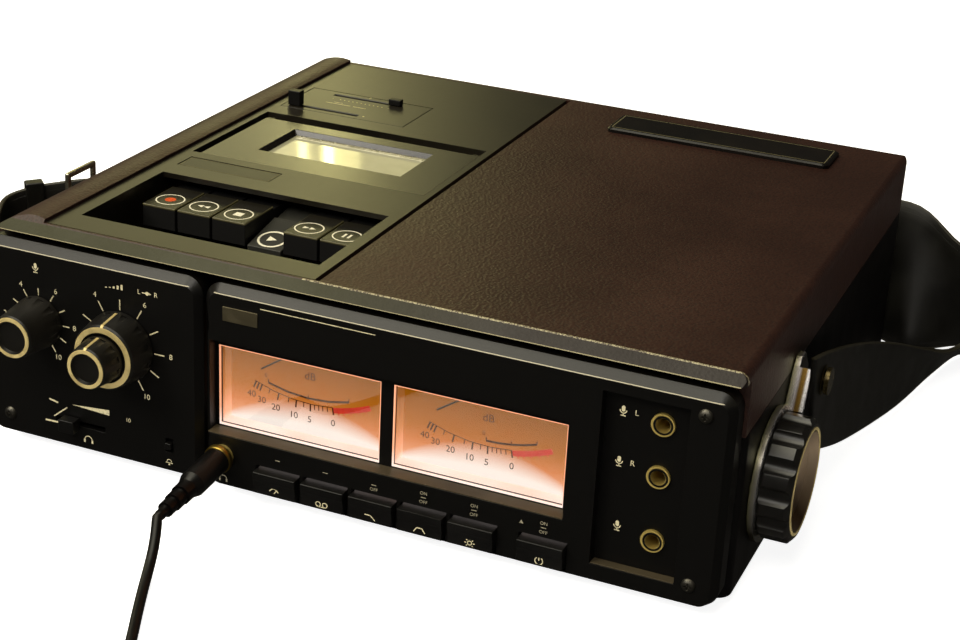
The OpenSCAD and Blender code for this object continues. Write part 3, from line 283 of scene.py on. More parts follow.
lead_rubber = rubber("lead_rubber", "070605", "0f0d0a", 0.4)
lead_rubber.cover(lead)


def pick(*pieces):
    """Selects some pieces alone, the first of them as the active one."""
    bpy.ops.object.select_all(action="DESELECT")
    for piece in pieces:
        piece.select_set(True)
    bpy.context.view_layer.objects.active = pieces[0]


def run_modifier(piece, kind, **settings):
    """Adds a modifier to a piece, sets it and applies it."""
    pick(piece)
    modifier = piece.modifiers.new(kind.lower(), kind)
    for setting, value in settings.items():
        setattr(modifier, setting, value)
    bpy.ops.object.modifier_apply(modifier=modifier.name)


plug_rubber = rubber("plug_rubber", "050404", "0b0908", 0.3)
end_plug = plug_rubber.cover(frame["nodes"]["lead_end_plug"])
plug_rubber.cover(frame["nodes"]["lead_plug"])


def new_piece(name, add, **settings):
    """Adds a primitive, the only thing selected, under its own name."""
    bpy.ops.object.select_all(action="DESELECT")
    add(**settings)
    bpy.context.object.name = name
    return bpy.context.object


def shape(*steps):
    """Runs steps of edit mode, each on the whole of the active piece."""
    bpy.ops.object.mode_set(mode="EDIT")
    for step, settings in steps:
        bpy.ops.mesh.select_all(action="SELECT")
        getattr(bpy.ops.mesh, step)(**settings)
    bpy.ops.object.mode_set(mode="OBJECT")


def sweep(name, section, turn=2 * pi, steps=40):
    """A closed ring or arc: a flat section, its radii and heights in mm, spun about z."""
    piece = new_piece(name, bpy.ops.mesh.primitive_circle_add,
                      vertices=len(section), fill_type="NGON")
    for corner, (x, z) in zip(piece.data.vertices, section):
        corner.co = (x * mm, 0, z * mm)
    if abs(turn) > 2 * pi - 0.001:
        shape(("delete", {"type": "ONLY_FACE"}))
    shape(("spin", {"steps": steps, "angle": -turn, "center": (0, 0, 0), "axis": (0, 0, 1)}),
          ("remove_doubles", {"threshold": 0.001 * mm}),
          ("normals_make_consistent", {"inside": False}))
    bpy.ops.object.shade_smooth_by_angle(angle=radians(35))
    return piece


def settle(piece, place, finish, body):
    """Puts a piece made at the origin in its place, and gives it its finish and its body."""
    piece.data.transform(place)
    finish.cover(piece)
    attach(piece, body)
    return piece


def bare_metal(name, code, gloss, brush=(1, 1, 1), scale=700):
    """Bare or plated metal, with the fine lines of its brushing or turning and dull patches."""
    finish = Finish(name, Metallic=1.0)
    lines = finish.noise(scale, 3, brush)
    dull = finish.spread(finish.noise(90, 4), 0.45, 0.75)
    tone = finish.mix(0.35 * dull, code, "4a4438")
    return finish.surface(Base_Color=tone, Roughness=gloss + 0.2 * dull + 0.1 * lines,
                          Normal=finish.bump(lines, 0.03 * mm, 0.3))


turned_brass = bare_metal("turned_brass", "c2a650", 0.26, (1, 8, 1))
collar = sweep("plug_collar", ((5.2, 0.4), (6.3, 0.4), (6.55, 0.8),
                               (6.55, 3.2), (6.3, 3.6), (5.2, 3.6)))
along_plug = plug_heading.to_track_quat("Z", "Y").to_matrix().to_4x4()
settle(collar, Matrix.Translation(socket_face) @ along_plug, turned_brass, "case")

# The tie is a soft band: a box bevelled round, its two ends opened and its wall given a thickness.
tie_size, tie_round, tie_wall = (19 * mm, 7 * mm, 10.4 * mm), 3.6 * mm, 0.5 * mm
tie_angle, tie_r, tie_z = radians(205), 24 * mm, 5.75 * mm
tie = new_piece("lead_tie", bpy.ops.mesh.primitive_cube_add, size=1)
tie.data.transform(Matrix.Diagonal((*tie_size, 1)))
bpy.ops.object.mode_set(mode="EDIT")
bpy.ops.mesh.select_mode(type="FACE")
bpy.ops.mesh.select_all(action="DESELECT")
bpy.ops.object.mode_set(mode="OBJECT")
for face in tie.data.polygons:
    face.select = abs(face.normal.y) > 0.9
bpy.ops.object.mode_set(mode="EDIT")
bpy.ops.mesh.delete(type="FACE")
bpy.ops.object.mode_set(mode="OBJECT")
run_modifier(tie, "BEVEL", width=tie_round, segments=5, limit_method="ANGLE")
run_modifier(tie, "SOLIDIFY", thickness=tie_wall, offset=1)
bpy.ops.object.shade_smooth_by_angle(angle=radians(40))
tie_out = Vector((cos(tie_angle), sin(tie_angle), 0))
tie_place = Matrix.Translation(coil_middle + tie_r * tie_out + Vector((0, 0, tie_z)))
settle(tie, tie_place @ Matrix.Rotation(tie_angle, 4, "Z"), lead_rubber, "case")
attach(lead, "case")
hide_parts("lead_cord", "lead_coil")

# Shoulder strap: two halves of a long smooth leather strap, 46 mm wide and 2.4 mm thick, hooked
# by eyelets on the side brackets, laid round the case and joined by a buckle behind it.
strap_t, strap_wide = 2.4 * mm, 46 * mm
strap_edges = {
    "right_strap": (
        ((185, -80, 90), (185.2, -52, 82), (187, -10, 69), (191, 25, 57.5), (198, 54, 47), (207, 92, 31),
         (217, 120, 22), (232, 135, 38), (235, 154, 52), (226, 168, 57), (206, 170, 60), (180, 182, 73),
         (150, 183, 72), (90, 178, 66), (40, 172, 60), (9, 170, 58)),
        ((185, -67, 41), (185.5, -54, 36), (188, -16, 23), (193, 31, 12.5), (199, 76, 6), (206, 124, 4),
         (214, 160, 3), (226, 161, 2.5), (237, 166, 8), (231, 172, 6), (212, 170, 3), (190, 153, 2.5),
         (168, 161, 3), (90, 177, 18), (40, 172, 12), (9, 170, 12))),
    "left_strap": (
        ((-185, -82, 90), (-185, -62, 92), (-186.5, -48, 91), (-195, -43, 88), (-205, -47, 86),
         (-216, -55, 84), (-224, -66, 81), (-219, -81, 78), (-208, -100, 72), (-203, -124, 64),
         (-205, -144, 56), (-216, -160, 51), (-230, -152, 50), (-236, -124, 50), (-236, -60, 50),
         (-236, 20, 50), (-235, 90, 50), (-226, 145, 53), (-198, 172, 56), (-150, 178, 57),
         (-90, 174, 58), (-40, 171, 58), (-12.3, 170, 58)),
        ((-185, -67, 44), (-185, -58, 45), (-186.5, -48, 44), (-195, -43, 41), (-205, -46, 39),
         (-215, -54, 36), (-222, -65, 33), (-217, -80, 29), (-207, -99, 24), (-203, -123, 16),
         (-206, -144, 8), (-217, -159, 3), (-230, -151, 2), (-235, -123, 2), (-235, -60, 2),
         (-235, 20, 2), (-234, 89, 2.5), (-225, 144, 6), (-197, 171, 9), (-150, 177, 10),
         (-90, 174, 11), (-40, 171, 12), (-12.3, 170, 12)))}
strap_columns = 8


def strap_band(name, tops, lows):
    """A band between two edges, with its length and width kept in a UV map for the edge groove."""
    run = [0.0]
    for k in range(1, len(tops)):
        run.append(run[-1] + ((tops[k] + lows[k]) / 2 - (tops[k - 1] + lows[k - 1]) / 2).length)
    corners = [top.lerp(low, c / strap_columns) for top, low in zip(tops, lows)
               for c in range(strap_columns + 1)]
    wide = strap_columns + 1
    faces = [(r * wide + c, r * wide + c + 1, (r + 1) * wide + c + 1, (r + 1) * wide + c)
             for r in range(len(tops) - 1) for c in range(strap_columns)]
    mesh = bpy.data.meshes.new(name)
    mesh.from_pydata(corners, [], faces)
    lengthwise = mesh.uv_layers.new(name="strap")
    for loop in mesh.loops:
        row, column = divmod(loop.vertex_index, wide)
        lengthwise.data[loop.index].uv = (run[row], column / strap_columns)
    piece = linked(name, mesh)
    run_modifier(piece, "SOLIDIFY", thickness=strap_t, offset=0)
    run_modifier(piece, "BEVEL", width=0.6 * mm, segments=2, limit_method="ANGLE",
                 angle_limit=radians(50))
    bpy.ops.object.shade_smooth_by_angle(angle=radians(50))
    return piece, run[-1]


strap_leather = Finish("strap_leather", Specular_IOR_Level=0.5)
_, across, _ = strap_leather.axes("UV")
edge_distance = 0.5 - abs(across - 0.5)
groove = abs(edge_distance - 0.06) < 0.012
pebble = strap_leather.noise(1100, 3)
creases = strap_leather.spread(strap_leather.noise(45, 5), 0.4, 0.75)
strap_tone = strap_leather.mix(creases, "0b0906", "14120b")
strap_leather.surface(
    Base_Color=strap_leather.mix(edge_distance < 0.015, strap_tone, "262214"),
    Roughness=0.4 + 0.16 * creases,
    Normal=strap_leather.bump(0.3 * pebble + 0.4 * creases - 0.8 * groove, 0.2 * mm, 0.5))
eyelet_brass = bare_metal("eyelet_brass", "6e6238", 0.32)
peg_hole_r = 4.2 * mm
lug_y, lug_z = -98.5, 43
lug_place = Vector((175, lug_y, lug_z)) * mm
lug_lean = {1: radians(46), -1: radians(44)}
peg_place = Vector((0, 6, 48)) * mm


def lug_frame(side):
    """The frame of a bracket: its lug in the middle, leaning back, mirrored on the left."""
    return (Matrix.Translation(Vector((side, 1, 1)) * lug_place) @ Matrix.Diagonal((side, 1, 1, 1))
            @ Matrix.Rotation(-lug_lean[side], 4, "X"))


def block(name, low, high):
    """A box between two corners, in millimetres, to be shaped further."""
    piece = new_piece(name, bpy.ops.mesh.primitive_cube_add, size=1)
    size = [(b - a) * mm for a, b in zip(low, high)]
    middle = [(a + b) / 2 * mm for a, b in zip(low, high)]
    piece.data.transform(Matrix.Translation(middle) @ Matrix.Diagonal((*size, 1)))
    return piece


def carve(piece, tool):
    """Cuts a tool's shape out of a piece."""
    run_modifier(piece, "BOOLEAN", object=tool, operation="DIFFERENCE", solver="EXACT")
    bpy.data.objects.remove(tool)


def ease(piece, width, steps=2):
    """Rounds the sharp edges of a piece over, and smooths its shading between them."""
    run_modifier(piece, "BEVEL", width=width * mm, segments=steps, limit_method="ANGLE",
                 angle_limit=radians(32))
    bpy.ops.object.shade_smooth_by_angle(angle=radians(32))
    run_modifier(piece, "WEIGHTED_NORMAL", mode="FACE_AREA", weight=60, keep_sharp=True)


def slab(name, low, high, edge, finish, body="case", holes=(), steps=2, place=Matrix()):
    """A block with its edges eased, cut through by other blocks, in its place."""
    piece = block(name, low, high)
    for hole in holes:
        carve(piece, block("hole", *hole))
    ease(piece, edge, steps)
    return settle(piece, place, finish, body)


# Near its eyelet each half swings with its bracket. The left one, which folds forward, has a short
# tab for that, joined to the long run under a leather keeper.
strap_bends = {"right_strap": ((0, -46, 0), (0, 0, 0)),
               "left_strap": ((-188.5, 0, 0), (-215, 0, 0))}
left_tab_rows = 26
strap_x, eyelet_x = 185 * mm, 185.1 * mm
eyelet_section = ((4.25, -1.7), (6.4, -1.7), (6.7, -1.45), (6.4, -1.2), (4.9, -1.2),
                  (4.9, 1.2), (6.4, 1.2), (6.7, 1.45), (6.4, 1.7), (4.25, 1.7))
for side, (name, edges) in zip((1, -1), strap_edges.items()):
    tops, lows = [smooth_line([Vector(point) * mm for point in edge], 5) for edge in edges]
    rows = left_tab_rows if side < 0 else len(tops)
    strap, strap_length = strap_band(name + "_leather", tops[:rows], lows[:rows])
    strap_leather.cover(strap)
    peg_at = lug_frame(side) @ peg_place
    carve(strap, new_piece("punch", bpy.ops.mesh.primitive_cylinder_add, vertices=32,
                           radius=peg_hole_r, depth=30 * mm, rotation=(0, pi / 2, 0),
                           location=(side * strap_x, peg_at.y, peg_at.z)))
    bracket_body = "right_bracket_body" if side > 0 else "left_bracket_body"
    eyelet = sweep(name + "_eyelet", eyelet_section)
    eyelet_place = Matrix.Translation((side * eyelet_x, peg_at.y, peg_at.z))
    settle(eyelet, eyelet_place @ Matrix.Rotation(pi / 2, 4, "Y"), eyelet_brass, bracket_body)
    bend_start, bend_end = [Vector(point) * mm for point in strap_bends[name]]
    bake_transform(strap, bracket_body, "case", bend_start, bend_end)
    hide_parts(name)

seam = left_tab_rows - 1
strap_run, strap_length = strap_band("left_strap_run_leather", tops[seam:], lows[seam:])
settle(strap_run, Matrix(), strap_leather, "case")
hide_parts("left_strap")
keeper_up = (tops[seam] - lows[seam]).normalized()
keeper_along = (tops[seam + 1] + lows[seam + 1] - tops[seam - 1] - lows[seam - 1]).normalized()
keeper_out = keeper_up.cross(keeper_along).normalized()
keeper_axes = Matrix((keeper_out.cross(keeper_up), keeper_out, keeper_up)).transposed().to_4x4()
keeper_place = Matrix.Translation((tops[seam] + lows[seam]) / 2)
keeper = slab("strap_keeper", (-4.5, -3.4, -26.6), (4.5, 3.4, 26.6), 0.8, strap_leather, "case",
              [((-9, -1.6, -24.6), (9, 1.6, 24.6))], 3, keeper_place @ keeper_axes)

buckle_slots = [((x, 160, 12), (x + 6, 180, 58.5)) for x in (-8, 2)]
slab("strap_buckle", (-12, 167.5, 9.5), (12, 172.5, 61), 0.9,
     bare_metal("buckle_steel", "8d8468", 0.3), "case", buckle_slots, 3)
loop_slot = ((-200, -65.2, 88), (-180, -46.8, 96.7))
slab("strap_loop", (-188.9, -68, 84), (-186.4, -44, 99.5), 0.9,
     bare_metal("loop_steel", "cfc8b2", 0.22), "left_bracket_body", [loop_slot], 3)

# Lower case: a deep black moulded tray that everything is screwed into, with four rubber feet
# and a sliding battery door let into its underside at the back.


def moulded(name, code, worn, gloss, grain=0.5, shine=0.25):
    """Injection-moulded plastic: spark-eroded grain, faint flow marks and a worn tone."""
    finish = Finish(name, Specular_IOR_Level=shine)
    grains = finish.noise(1500, 3)
    marks = finish.spread(finish.noise(35, 5, (1, 1, 0.4)), 0.42, 0.72)
    tone = finish.mix(marks, code, worn)
    return finish.surface(Base_Color=tone, Roughness=gloss + 0.12 * marks + 0.06 * grains,
                          Normal=finish.bump(grains, 0.08 * mm, grain))


def dress(node, finish, edge=0.35, reshape=None):
    """A copy of a CAD node with its triangles merged, its edges eased and its curves smoothed."""
    source = frame["nodes"][node]
    piece = finish.cover(linked(node + "_finished", source.data.copy()))
    pick(piece)
    shape(("remove_doubles", {"threshold": 0.002 * mm}),
          ("dissolve_limited", {"angle_limit": radians(0.5)}))
    for corner in piece.data.vertices if reshape else ():
        corner.co = reshape(corner.co / mm) * mm
    if edge:
        ease(piece, edge)
    else:
        bpy.ops.object.shade_smooth_by_angle(angle=radians(32))
    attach(piece, body_of(source)[0])
    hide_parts(node)
    return piece


case_black = moulded("case_black", "070505", "0d0a08", 0.42, 0.4, 0.14)
dress("bottom_case", case_black, 0.5)
dress("battery_door", case_black, 0.4)
foot_rubber = rubber("foot_rubber", "0d0d0c", "1a1a18", 0.7)
dress("feet", foot_rubber, 0.6)

# Works: a drilled steel chassis under the deck carries the motor, belt, flywheel and capstan, the
# reel spindles and the head bridge with its rubber pinch roller. The circuit board lies below.
chassis_steel = bare_metal("chassis_steel", "9c9d9b", 0.35, (1, 0.1, 1))
for node in ("chassis_plate", "drive_motor", "flywheel", "key_rod", "head_bridge"):
    dress(node, chassis_steel, 0.25)
belt_rubber = rubber("belt_rubber", "121212", "202020", 0.6)
for node in ("drive_belt", "pinch_roller"):
    dress(node, belt_rubber, 0.15)
dress("motor_pulley", turned_brass, 0.2)
reel_plastic = moulded("reel_plastic", "cfccc2", "b9b5a8", 0.4)
for node in ("supply_spindle", "takeup_spindle"):
    dress(node, reel_plastic, 0.25)
board_laminate = Finish("board_laminate")
tracks = (board_laminate.noise(160, 0, (1, 4, 1)) > 0.55) * 1.0
board_laminate.surface(Base_Color=board_laminate.mix(tracks, "2f4a22", "8c7a3a"),
                       Roughness=0.5 - 0.2 * tracks,
                       Normal=board_laminate.bump(tracks, 0.05 * mm, 0.5))
dress("circuit_board", board_laminate, 0)

# Deck: a painted panel let into the left of the top, with the key well and the cassette well
# pressed down into it, a blank badge strip, and a counter panel with two slotted sliders.


def deck_enamel(name, code, worn, gloss):
    """Satin enamel on a smooth moulding: even, with soft waves and a fine orange peel."""
    finish = Finish(name, Specular_IOR_Level=0.5)
    peel = finish.noise(420, 2)
    waves = finish.noise(18, 3)
    tone = finish.mix(finish.spread(waves, 0.35, 0.7), code, worn)
    return finish.surface(Base_Color=tone, Roughness=gloss + 0.06 * waves + 0.03 * peel,
                          Normal=finish.bump(peel, 0.03 * mm, 0.15))


deck_paint = deck_enamel("deck_paint", "17140d", "1e1a11", 0.3)
lid_paint = deck_enamel("lid_paint", "17140d", "1c1810", 0.2)
slider_black = moulded("slider_black", "0c0b0a", "171410", 0.35)
for node, finish in (("deck_panel", deck_paint), ("counter_panel", deck_paint),
                     ("counter_slider", slider_black), ("counter_lever", slider_black)):
    dress(node, finish, 0.4)
badge_top = 108.3
badge_paint = deck_enamel("badge_paint", "0c0a07", "120f0a", 0.34)
slab("badge_strip", (-136, -50.6, 107.5), (-86.8, -37.4, badge_top), 0.25, badge_paint)
ink_t = 0.05 * mm


def ink_patch(corners):
    """A printed patch with those corners, in millimetres on a flat sheet, as thick as the ink."""
    patch = new_piece("patch", bpy.ops.mesh.primitive_circle_add,
                      vertices=len(corners), fill_type="NGON")
    for corner, (x, y) in zip(patch.data.vertices, corners):
        corner.co = (x * mm, y * mm, 0)
    shape(("extrude_region_move", {"TRANSFORM_OT_translate": {"value": (0, 0, ink_t)}}),
          ("normals_make_consistent", {"inside": False}))
    return patch


def ink_line(start, end, width=0.45):
    """A printed line from one point of the sheet to another."""
    (x0, y0), (x1, y1) = start, end
    length = hypot(x1 - x0, y1 - y0)
    u, v = (y0 - y1) / length * width / 2, (x1 - x0) / length * width / 2
    return ink_patch([(x0 + u, y0 + v), (x0 - u, y0 - v), (x1 - u, y1 - v), (x1 + u, y1 + v)])


def ink_path(points, width=0.45):
    """A printed line through several points."""
    return [ink_line(a, b, width) for a, b in zip(points, points[1:])]


def ink_frame(low, high, width):
    """A printed frame between two corners."""
    (x0, y0), (x1, y1) = low, high
    return ink_path([(x0, y0), (x1, y0), (x1, y1), (x0, y1), (x0, y0)], width)


def ink_ring(x, y, outer, inner, start=0, end=360):
    """A printed ring, or an arc of one from one angle to another, both anticlockwise."""
    section = ((inner, 0), (outer, 0), (outer, ink_t / mm), (inner, ink_t / mm))
    ring = sweep("ring", section, radians(end - start), max(round((end - start) / 8), 4))
    from_start = Matrix.Rotation(radians(start), 4, "Z")
    ring.data.transform(Matrix.Translation((x * mm, y * mm, 0)) @ from_start)
    return ring


def ink_dot(x, y, radius):
    """A round printed dot."""
    return ink_patch([(x + radius * cos(pi * k / 10), y + radius * sin(pi * k / 10))
                      for k in range(20)])


def ink_text(words, x, y, height):
    """Printed figures or letters, centred on a point."""
    text = new_piece("text", bpy.ops.object.text_add)
    text.data.body = words
    text.data.size = height * mm / 0.7
    text.data.resolution_u = 4
    text.data.align_x, text.data.align_y = "CENTER", "CENTER"
    text.data.extrude = ink_t / 2
    bpy.ops.object.convert(target="MESH")
    shape(("remove_doubles", {"threshold": 0.001 * mm}))
    text.data.transform(Matrix.Translation((x * mm, y * mm, ink_t / 2)))
    return text


def ink_print(name, marks, finish, place, body="case"):
    """Joins printed marks into one piece and lays it on the surface that carries it."""
    pick(*marks)
    bpy.ops.object.join()
    marks[0].name = name
    settle(marks[0], place, finish, body)


def ink(name, code, worn):
    """Screen-printing ink, thin and matt, and worn through in specks."""
    finish = Finish(name, Specular_IOR_Level=0.3)
    specks = finish.spread(finish.noise(900, 3), 0.52, 0.7)
    return finish.surface(Base_Color=finish.mix(specks, code, worn), Roughness=0.5 + 0.2 * specks)


def level_sheet(z):
    """A flat sheet that lies face up at a height in mm."""
    return Matrix.Translation((0, 0, z * mm))


white_ink = ink("white_ink", "c4ba94", "8f876a")
counter_marks = [ink_dot(-117 + 2.48 * k, 84.2 - 0.05 * k, 0.42) for k in range(11)]
counter_marks += [
    ink_text("-", -121.5, 84.3, 1.6), ink_text("+", -88.4, 83.6, 1.6), ink_text("0", -104.6, 95.2, 1.7),
    ink_line((-122, 76.6), (-107.5, 76.6), 0.6), ink_line((-105.8, 76.6), (-98.4, 76.6), 0.6),
    ink_line((-118, 79), (-113, 79), 0.5), ink_dot(-93.4, 63.9, 0.55)]
counter_top = 108.5
ink_print("counter_print", counter_marks, white_ink, level_sheet(counter_top))
rim_ink = ink("rim_ink", "6d664a", "4a4534")
badge_rim = ink_frame((-135.2, -49.8), (-87.6, -38.2), 0.35)
ink_print("badge_rim", badge_rim, rim_ink, level_sheet(badge_top))

# Transport keys: six hollow levers on one rod, five in black and the play key in silver, each
# with its sign printed in a ring on the top.
key_top = 102.5


def key_finish(name, top, worn, rim):
    """Moulded key plastic: a satin top, a painted highlight along its rim and painted shade on its sunken
    sides.
    """
    finish = Finish(name, Specular_IOR_Level=0.4)
    _, _, height = finish.axes()
    grains = finish.noise(1500, 3)
    worn_tone = finish.mix(finish.spread(finish.noise(60, 4), 0.4, 0.7), top, worn)
    # The band just under the top is a painted highlight, and the sides fade to near-black as painted shade
    # in the well.
    rim_highlight_tone = finish.mix((height < (key_top - 0.06) * mm) * 0.8, worn_tone, rim)
    sunk = finish.spread(height, (key_top - 0.6) * mm, (key_top - 1.0) * mm)
    return finish.surface(Base_Color=finish.mix(sunk, rim_highlight_tone, "040302"),
                          Roughness=0.32 + 0.06 * grains + 0.3 * sunk,
                          Normal=finish.bump(grains, 0.08 * mm, 0.4))


key_black = key_finish("key_black", "14120c", "1c1911", "6b6544")
key_silver = moulded("key_silver", "32322d", "3d3c36", 0.3)
for node in ("record_key", "rewind_key", "stop_key", "forward_key", "pause_key"):
    dress(node, key_black, 0.5)
dress("play_key", key_silver, 0.5)
record_red = ink("record_red", "d8501c", "a83a14")
key_print = ink("key_print", "efe9d2", "c9c2a8")


def arrow(x, y, size):
    """A solid triangle that points along x, or back where its size is negative."""
    back, tip, half = x - 0.55 * size, x + 0.75 * size, 0.62 * abs(size)
    return ink_patch([(back, y - half), (tip, y), (back, y + half)])


def key_ring(x, y):
    return ink_ring(x, y, 6.9, 6.25)


key_signs = {
    "rewind_sign": [key_ring(-103.7, -80.6), arrow(-105.4, -80.6, -2.2), arrow(-102, -80.6, -2.2)],
    "stop_sign": [key_ring(-84.9, -81.4),
                  ink_patch([(-87, -83.5), (-82.8, -83.5), (-82.8, -79.3), (-87, -79.3)])],
    "forward_sign": [key_ring(-48.9, -80.9), arrow(-50.6, -80.9, 2.2), arrow(-47.2, -80.9, 2.2)],
    "pause_sign": [key_ring(-29.7, -81.2), ink_line((-31, -83.4), (-31, -79), 1.1),
                   ink_line((-28.4, -83.4), (-28.4, -79), 1.1)],
    "record_ring": [key_ring(-121.7, -80.5)], "record_dot": [ink_dot(-121.7, -80.5, 2.6)],
    "play_sign": [ink_ring(-66.6, -82.4, 7.0, 5.9), arrow(-66.9, -82.4, 3.4)]}
rod_middle = Matrix.Translation(Vector((0, -40.2, 95.5)) * mm)
play_pressed = rod_middle @ Matrix.Rotation(radians(11), 4, "X") @ rod_middle.inverted()
for sign, marks in key_signs.items():
    key_pose = play_pressed if sign == "play_sign" else Matrix()
    ink_print(sign, marks, record_red if sign == "record_dot" else key_print,
              key_pose @ level_sheet(key_top), sign.split("_")[0] + "_key_body")

# Cassette lid: a painted cover on two ears, with a clear pane glued in from below and a thin
# bright strip along the bevel of its window, which is a painted highlight of that bevel.
dress("cassette_lid", lid_paint, 0.5)
pane_clear = Finish("pane_clear", IOR=1.9, Transmission_Weight=0.3, Specular_IOR_Level=0.9)
haze = pane_clear.spread(pane_clear.noise(70, 4), 0.4, 0.8)
pane_clear.surface(Base_Color=pane_clear.mix(haze, "ccc8a6", "bcb896"),
                   Roughness=0.04 + 0.05 * haze)
dress("lid_window", pane_clear, 0.2)
# A bright metal strip as a painted highlight along the window's bevel.
highlight_trim = bare_metal("highlight_trim", "d9d4bd", 0.2)
slab("pane_highlight_strip", (-112.9, 26.3, 104.7), (-39.5, 27.1, 105.5), 0.25, highlight_trim, "lid_body")

# Top cover: a shell wrapped in dark brown grained leathercloth, with its left shoulder rolled
# over to a rail. A blank black bar with a fine rim sits at its back.
leather = Finish("leather", Specular_IOR_Level=0.42)
cells = leather.node("ShaderNodeTexVoronoi", {"feature": "SMOOTH_F1"},
                     {"Vector": leather.place(), "Scale": 720.0, "Smoothness": 0.5})
wrinkles = leather.noise(260, 5)
patches = leather.spread(leather.noise(14, 4), 0.35, 0.7)
cover_x, depth_y, height_z = leather.axes()
crest_y, crest_wide, crest_from = -148 * mm, 0.45 * mm, -17 * mm
lip_y, lip_z, lip_raised, lip_deep = -153.5, 103.5, 0.7, 4.5
# Painted highlights: a line of glints along the crest and a bright line along the lip's lower edge.
glints = leather.spread(leather.noise(1300, 2), 0.36, 0.6)
crest_glint_highlight = (abs(depth_y - crest_y) < crest_wide) * (cover_x > crest_from) * glints
lip_edge_highlight = (depth_y < (lip_y + 0.55) * mm) * (height_z < (lip_z + lip_raised + 0.5) * mm)
# The lip's olive tone on the left, fading to brown on the right, is a painted reflection of the warm window.
lip_reflection_tone = leather.mix(leather.spread(cover_x, -20 * mm, 80 * mm), "2c2b08", "180c04")
leather_tone = leather.mix(patches, "2a160f", "341c13")
grained = leather.mix(leather.spread(cells, 0.0, 0.5), "1a0c08", leather_tone)
on_lip = depth_y < crest_y - crest_wide
faced = leather.mix(on_lip, grained, lip_reflection_tone)
leather.surface(
    Base_Color=leather.mix(crest_glint_highlight + 0.8 * lip_edge_highlight, faced, "aaa07c"),
    Roughness=0.34 + 0.1 * patches + 0.08 * wrinkles + 0.16 * on_lip,
    Normal=leather.bump(0.7 * cells + 0.6 * wrinkles, 0.3 * mm, 0.6))


def thinner_lip(corner):
    """Lifts the lower edge of the front lip a little, so that its slope is as low as it looks."""
    if abs(corner.z - lip_z) < 0.1 and corner.y < lip_y + lip_deep:
        corner.z += lip_raised * (lip_y + lip_deep - corner.y) / lip_deep
    return corner


dress("top_cover", leather, 0.5, thinner_lip)
bar_black = moulded("bar_black", "0a0807", "120e0b", 0.25)
dress("name_bar", bar_black, 0.4)
bar_low, bar_high, bar_top, rim_in = (25.5, 108), (143, 135), 110.9, 2.4
bar_rim = ink_frame([edge + rim_in for edge in bar_low], [edge - rim_in for edge in bar_high], 0.5)
ink_print("name_bar_rim", bar_rim, rim_ink, level_sheet(bar_top))

# Front blocks: two black moulded fronts with a bevelled edge, screwed to the case, the left one
# for the level controls and the right one for the meters, switches and microphone sockets.
bevel_y, bevel_low_z, front_y = -149, 97, -155.5
bevel_forward, bevel_lift, bevel_lift_from = 3.2, 0.08, 90
front_black = Finish("front_black", Specular_IOR_Level=0.45)
_, block_y, block_z = front_black.axes()
front_grains = front_black.noise(1500, 3)
# The bevel's lighter tone is a painted sheen, and the bright line along its lower edge a painted highlight.
on_bevel = (block_y > (front_y + 0.3) * mm) * (block_z > (bevel_low_z - 1) * mm)
bevel_highlight_line = (abs(block_z - bevel_low_z * mm) < 0.2 * mm) * (block_y < (front_y + 0.6) * mm)
satin = front_black.mix(on_bevel, "040302", "110f0a")
front_black.surface(Base_Color=front_black.mix(bevel_highlight_line, satin, "b3ab92"),
                    Roughness=0.42 + 0.06 * front_grains - 0.08 * on_bevel,
                    Normal=front_black.bump(front_grains, 0.08 * mm, 0.35))


def steeper_bevel(corner):
    """Brings the back of the bevel forward and up, so that it faces the front as it looks."""
    if abs(corner.y - bevel_y) < 0.1:
        corner.y -= bevel_forward
        corner.z += bevel_lift * max(corner.z - bevel_lift_from, 0)
    return corner


for node in ("left_control_block", "right_meter_block"):
    dress(node, front_black, 0.3, steeper_bevel)


def upright(y, x=0, z=0):
    """A flat sheet that faces the front from a place in mm, its second axis upwards."""
    return Matrix.Translation((x * mm, y * mm, z * mm)) @ Matrix.Rotation(pi / 2, 4, "X")


heading_line = ink_line((-32.5, 94.1), (20.7, 93.9), 0.35)
ink_print("heading_line", [heading_line], white_ink, upright(front_y))
plate_satin = bare_metal("plate_satin", "a79c7e", 0.4, (0.1, 1, 1))
slab("blank_plate", (-50.5, -155.9, 85.2), (-33.8, -155.3, 91.7), 0.2, plate_satin)
# Beige plates on the floors of the meter and socket recesses stand in for the light that falls there:
# painted light.
sill_painted_light = moulded("sill_painted_light", "4d4433", "40382a", 0.35)
slab("meter_sill", (-58.4, -155.2, 30.55), (106.6, -147.6, 31.0), 0.2, sill_painted_light)
slab("socket_sill", (119.8, -155.2, 14.05), (155.2, -150.6, 14.5), 0.2, sill_painted_light)

# Meters: two lamp-lit level meters in white housings, each with a printed dial, a needle hung
# from its movement at the top and a clear cover let into the front block.
dial_low, dial_high = 30 * mm, 65 * mm
dial_left, dial_pitch, dial_wide = -57 * mm, 83.4 * mm, 77.4 * mm
dial_glow = Finish("dial_glow", Roughness=0.6, Specular_IOR_Level=0.0, Emission_Strength=1.0)
dial_x, _, dial_z = dial_glow.axes()
dial_height = dial_glow.spread(dial_z, dial_low, dial_high)
off_middle = abs(((dial_x - dial_left) % dial_pitch) / dial_wide - 0.5) * 2
lamp_bell = 0.4 - 0.3 * off_middle * off_middle
lamp_near = dial_glow.spread(dial_height / lamp_bell, 0.35, 1.15)
glow = dial_glow.ramp(dial_height, (0.0, "ffb892"), (0.3, "d98448"), (0.55, "b26a1c"), (1.0, "8a5204"))
dial_glow.surface(Base_Color="2a1c0e",
                  Emission_Color=dial_glow.mix(lamp_near, "fffaf6", glow))
dial_glow.cover(frame["nodes"]["meter_dials"])
housing_lit = Finish("housing_lit", Roughness=0.5, Emission_Strength=1.0)
_, _, wall_z = housing_lit.axes()
wall_height = housing_lit.spread(wall_z, dial_low, dial_high)
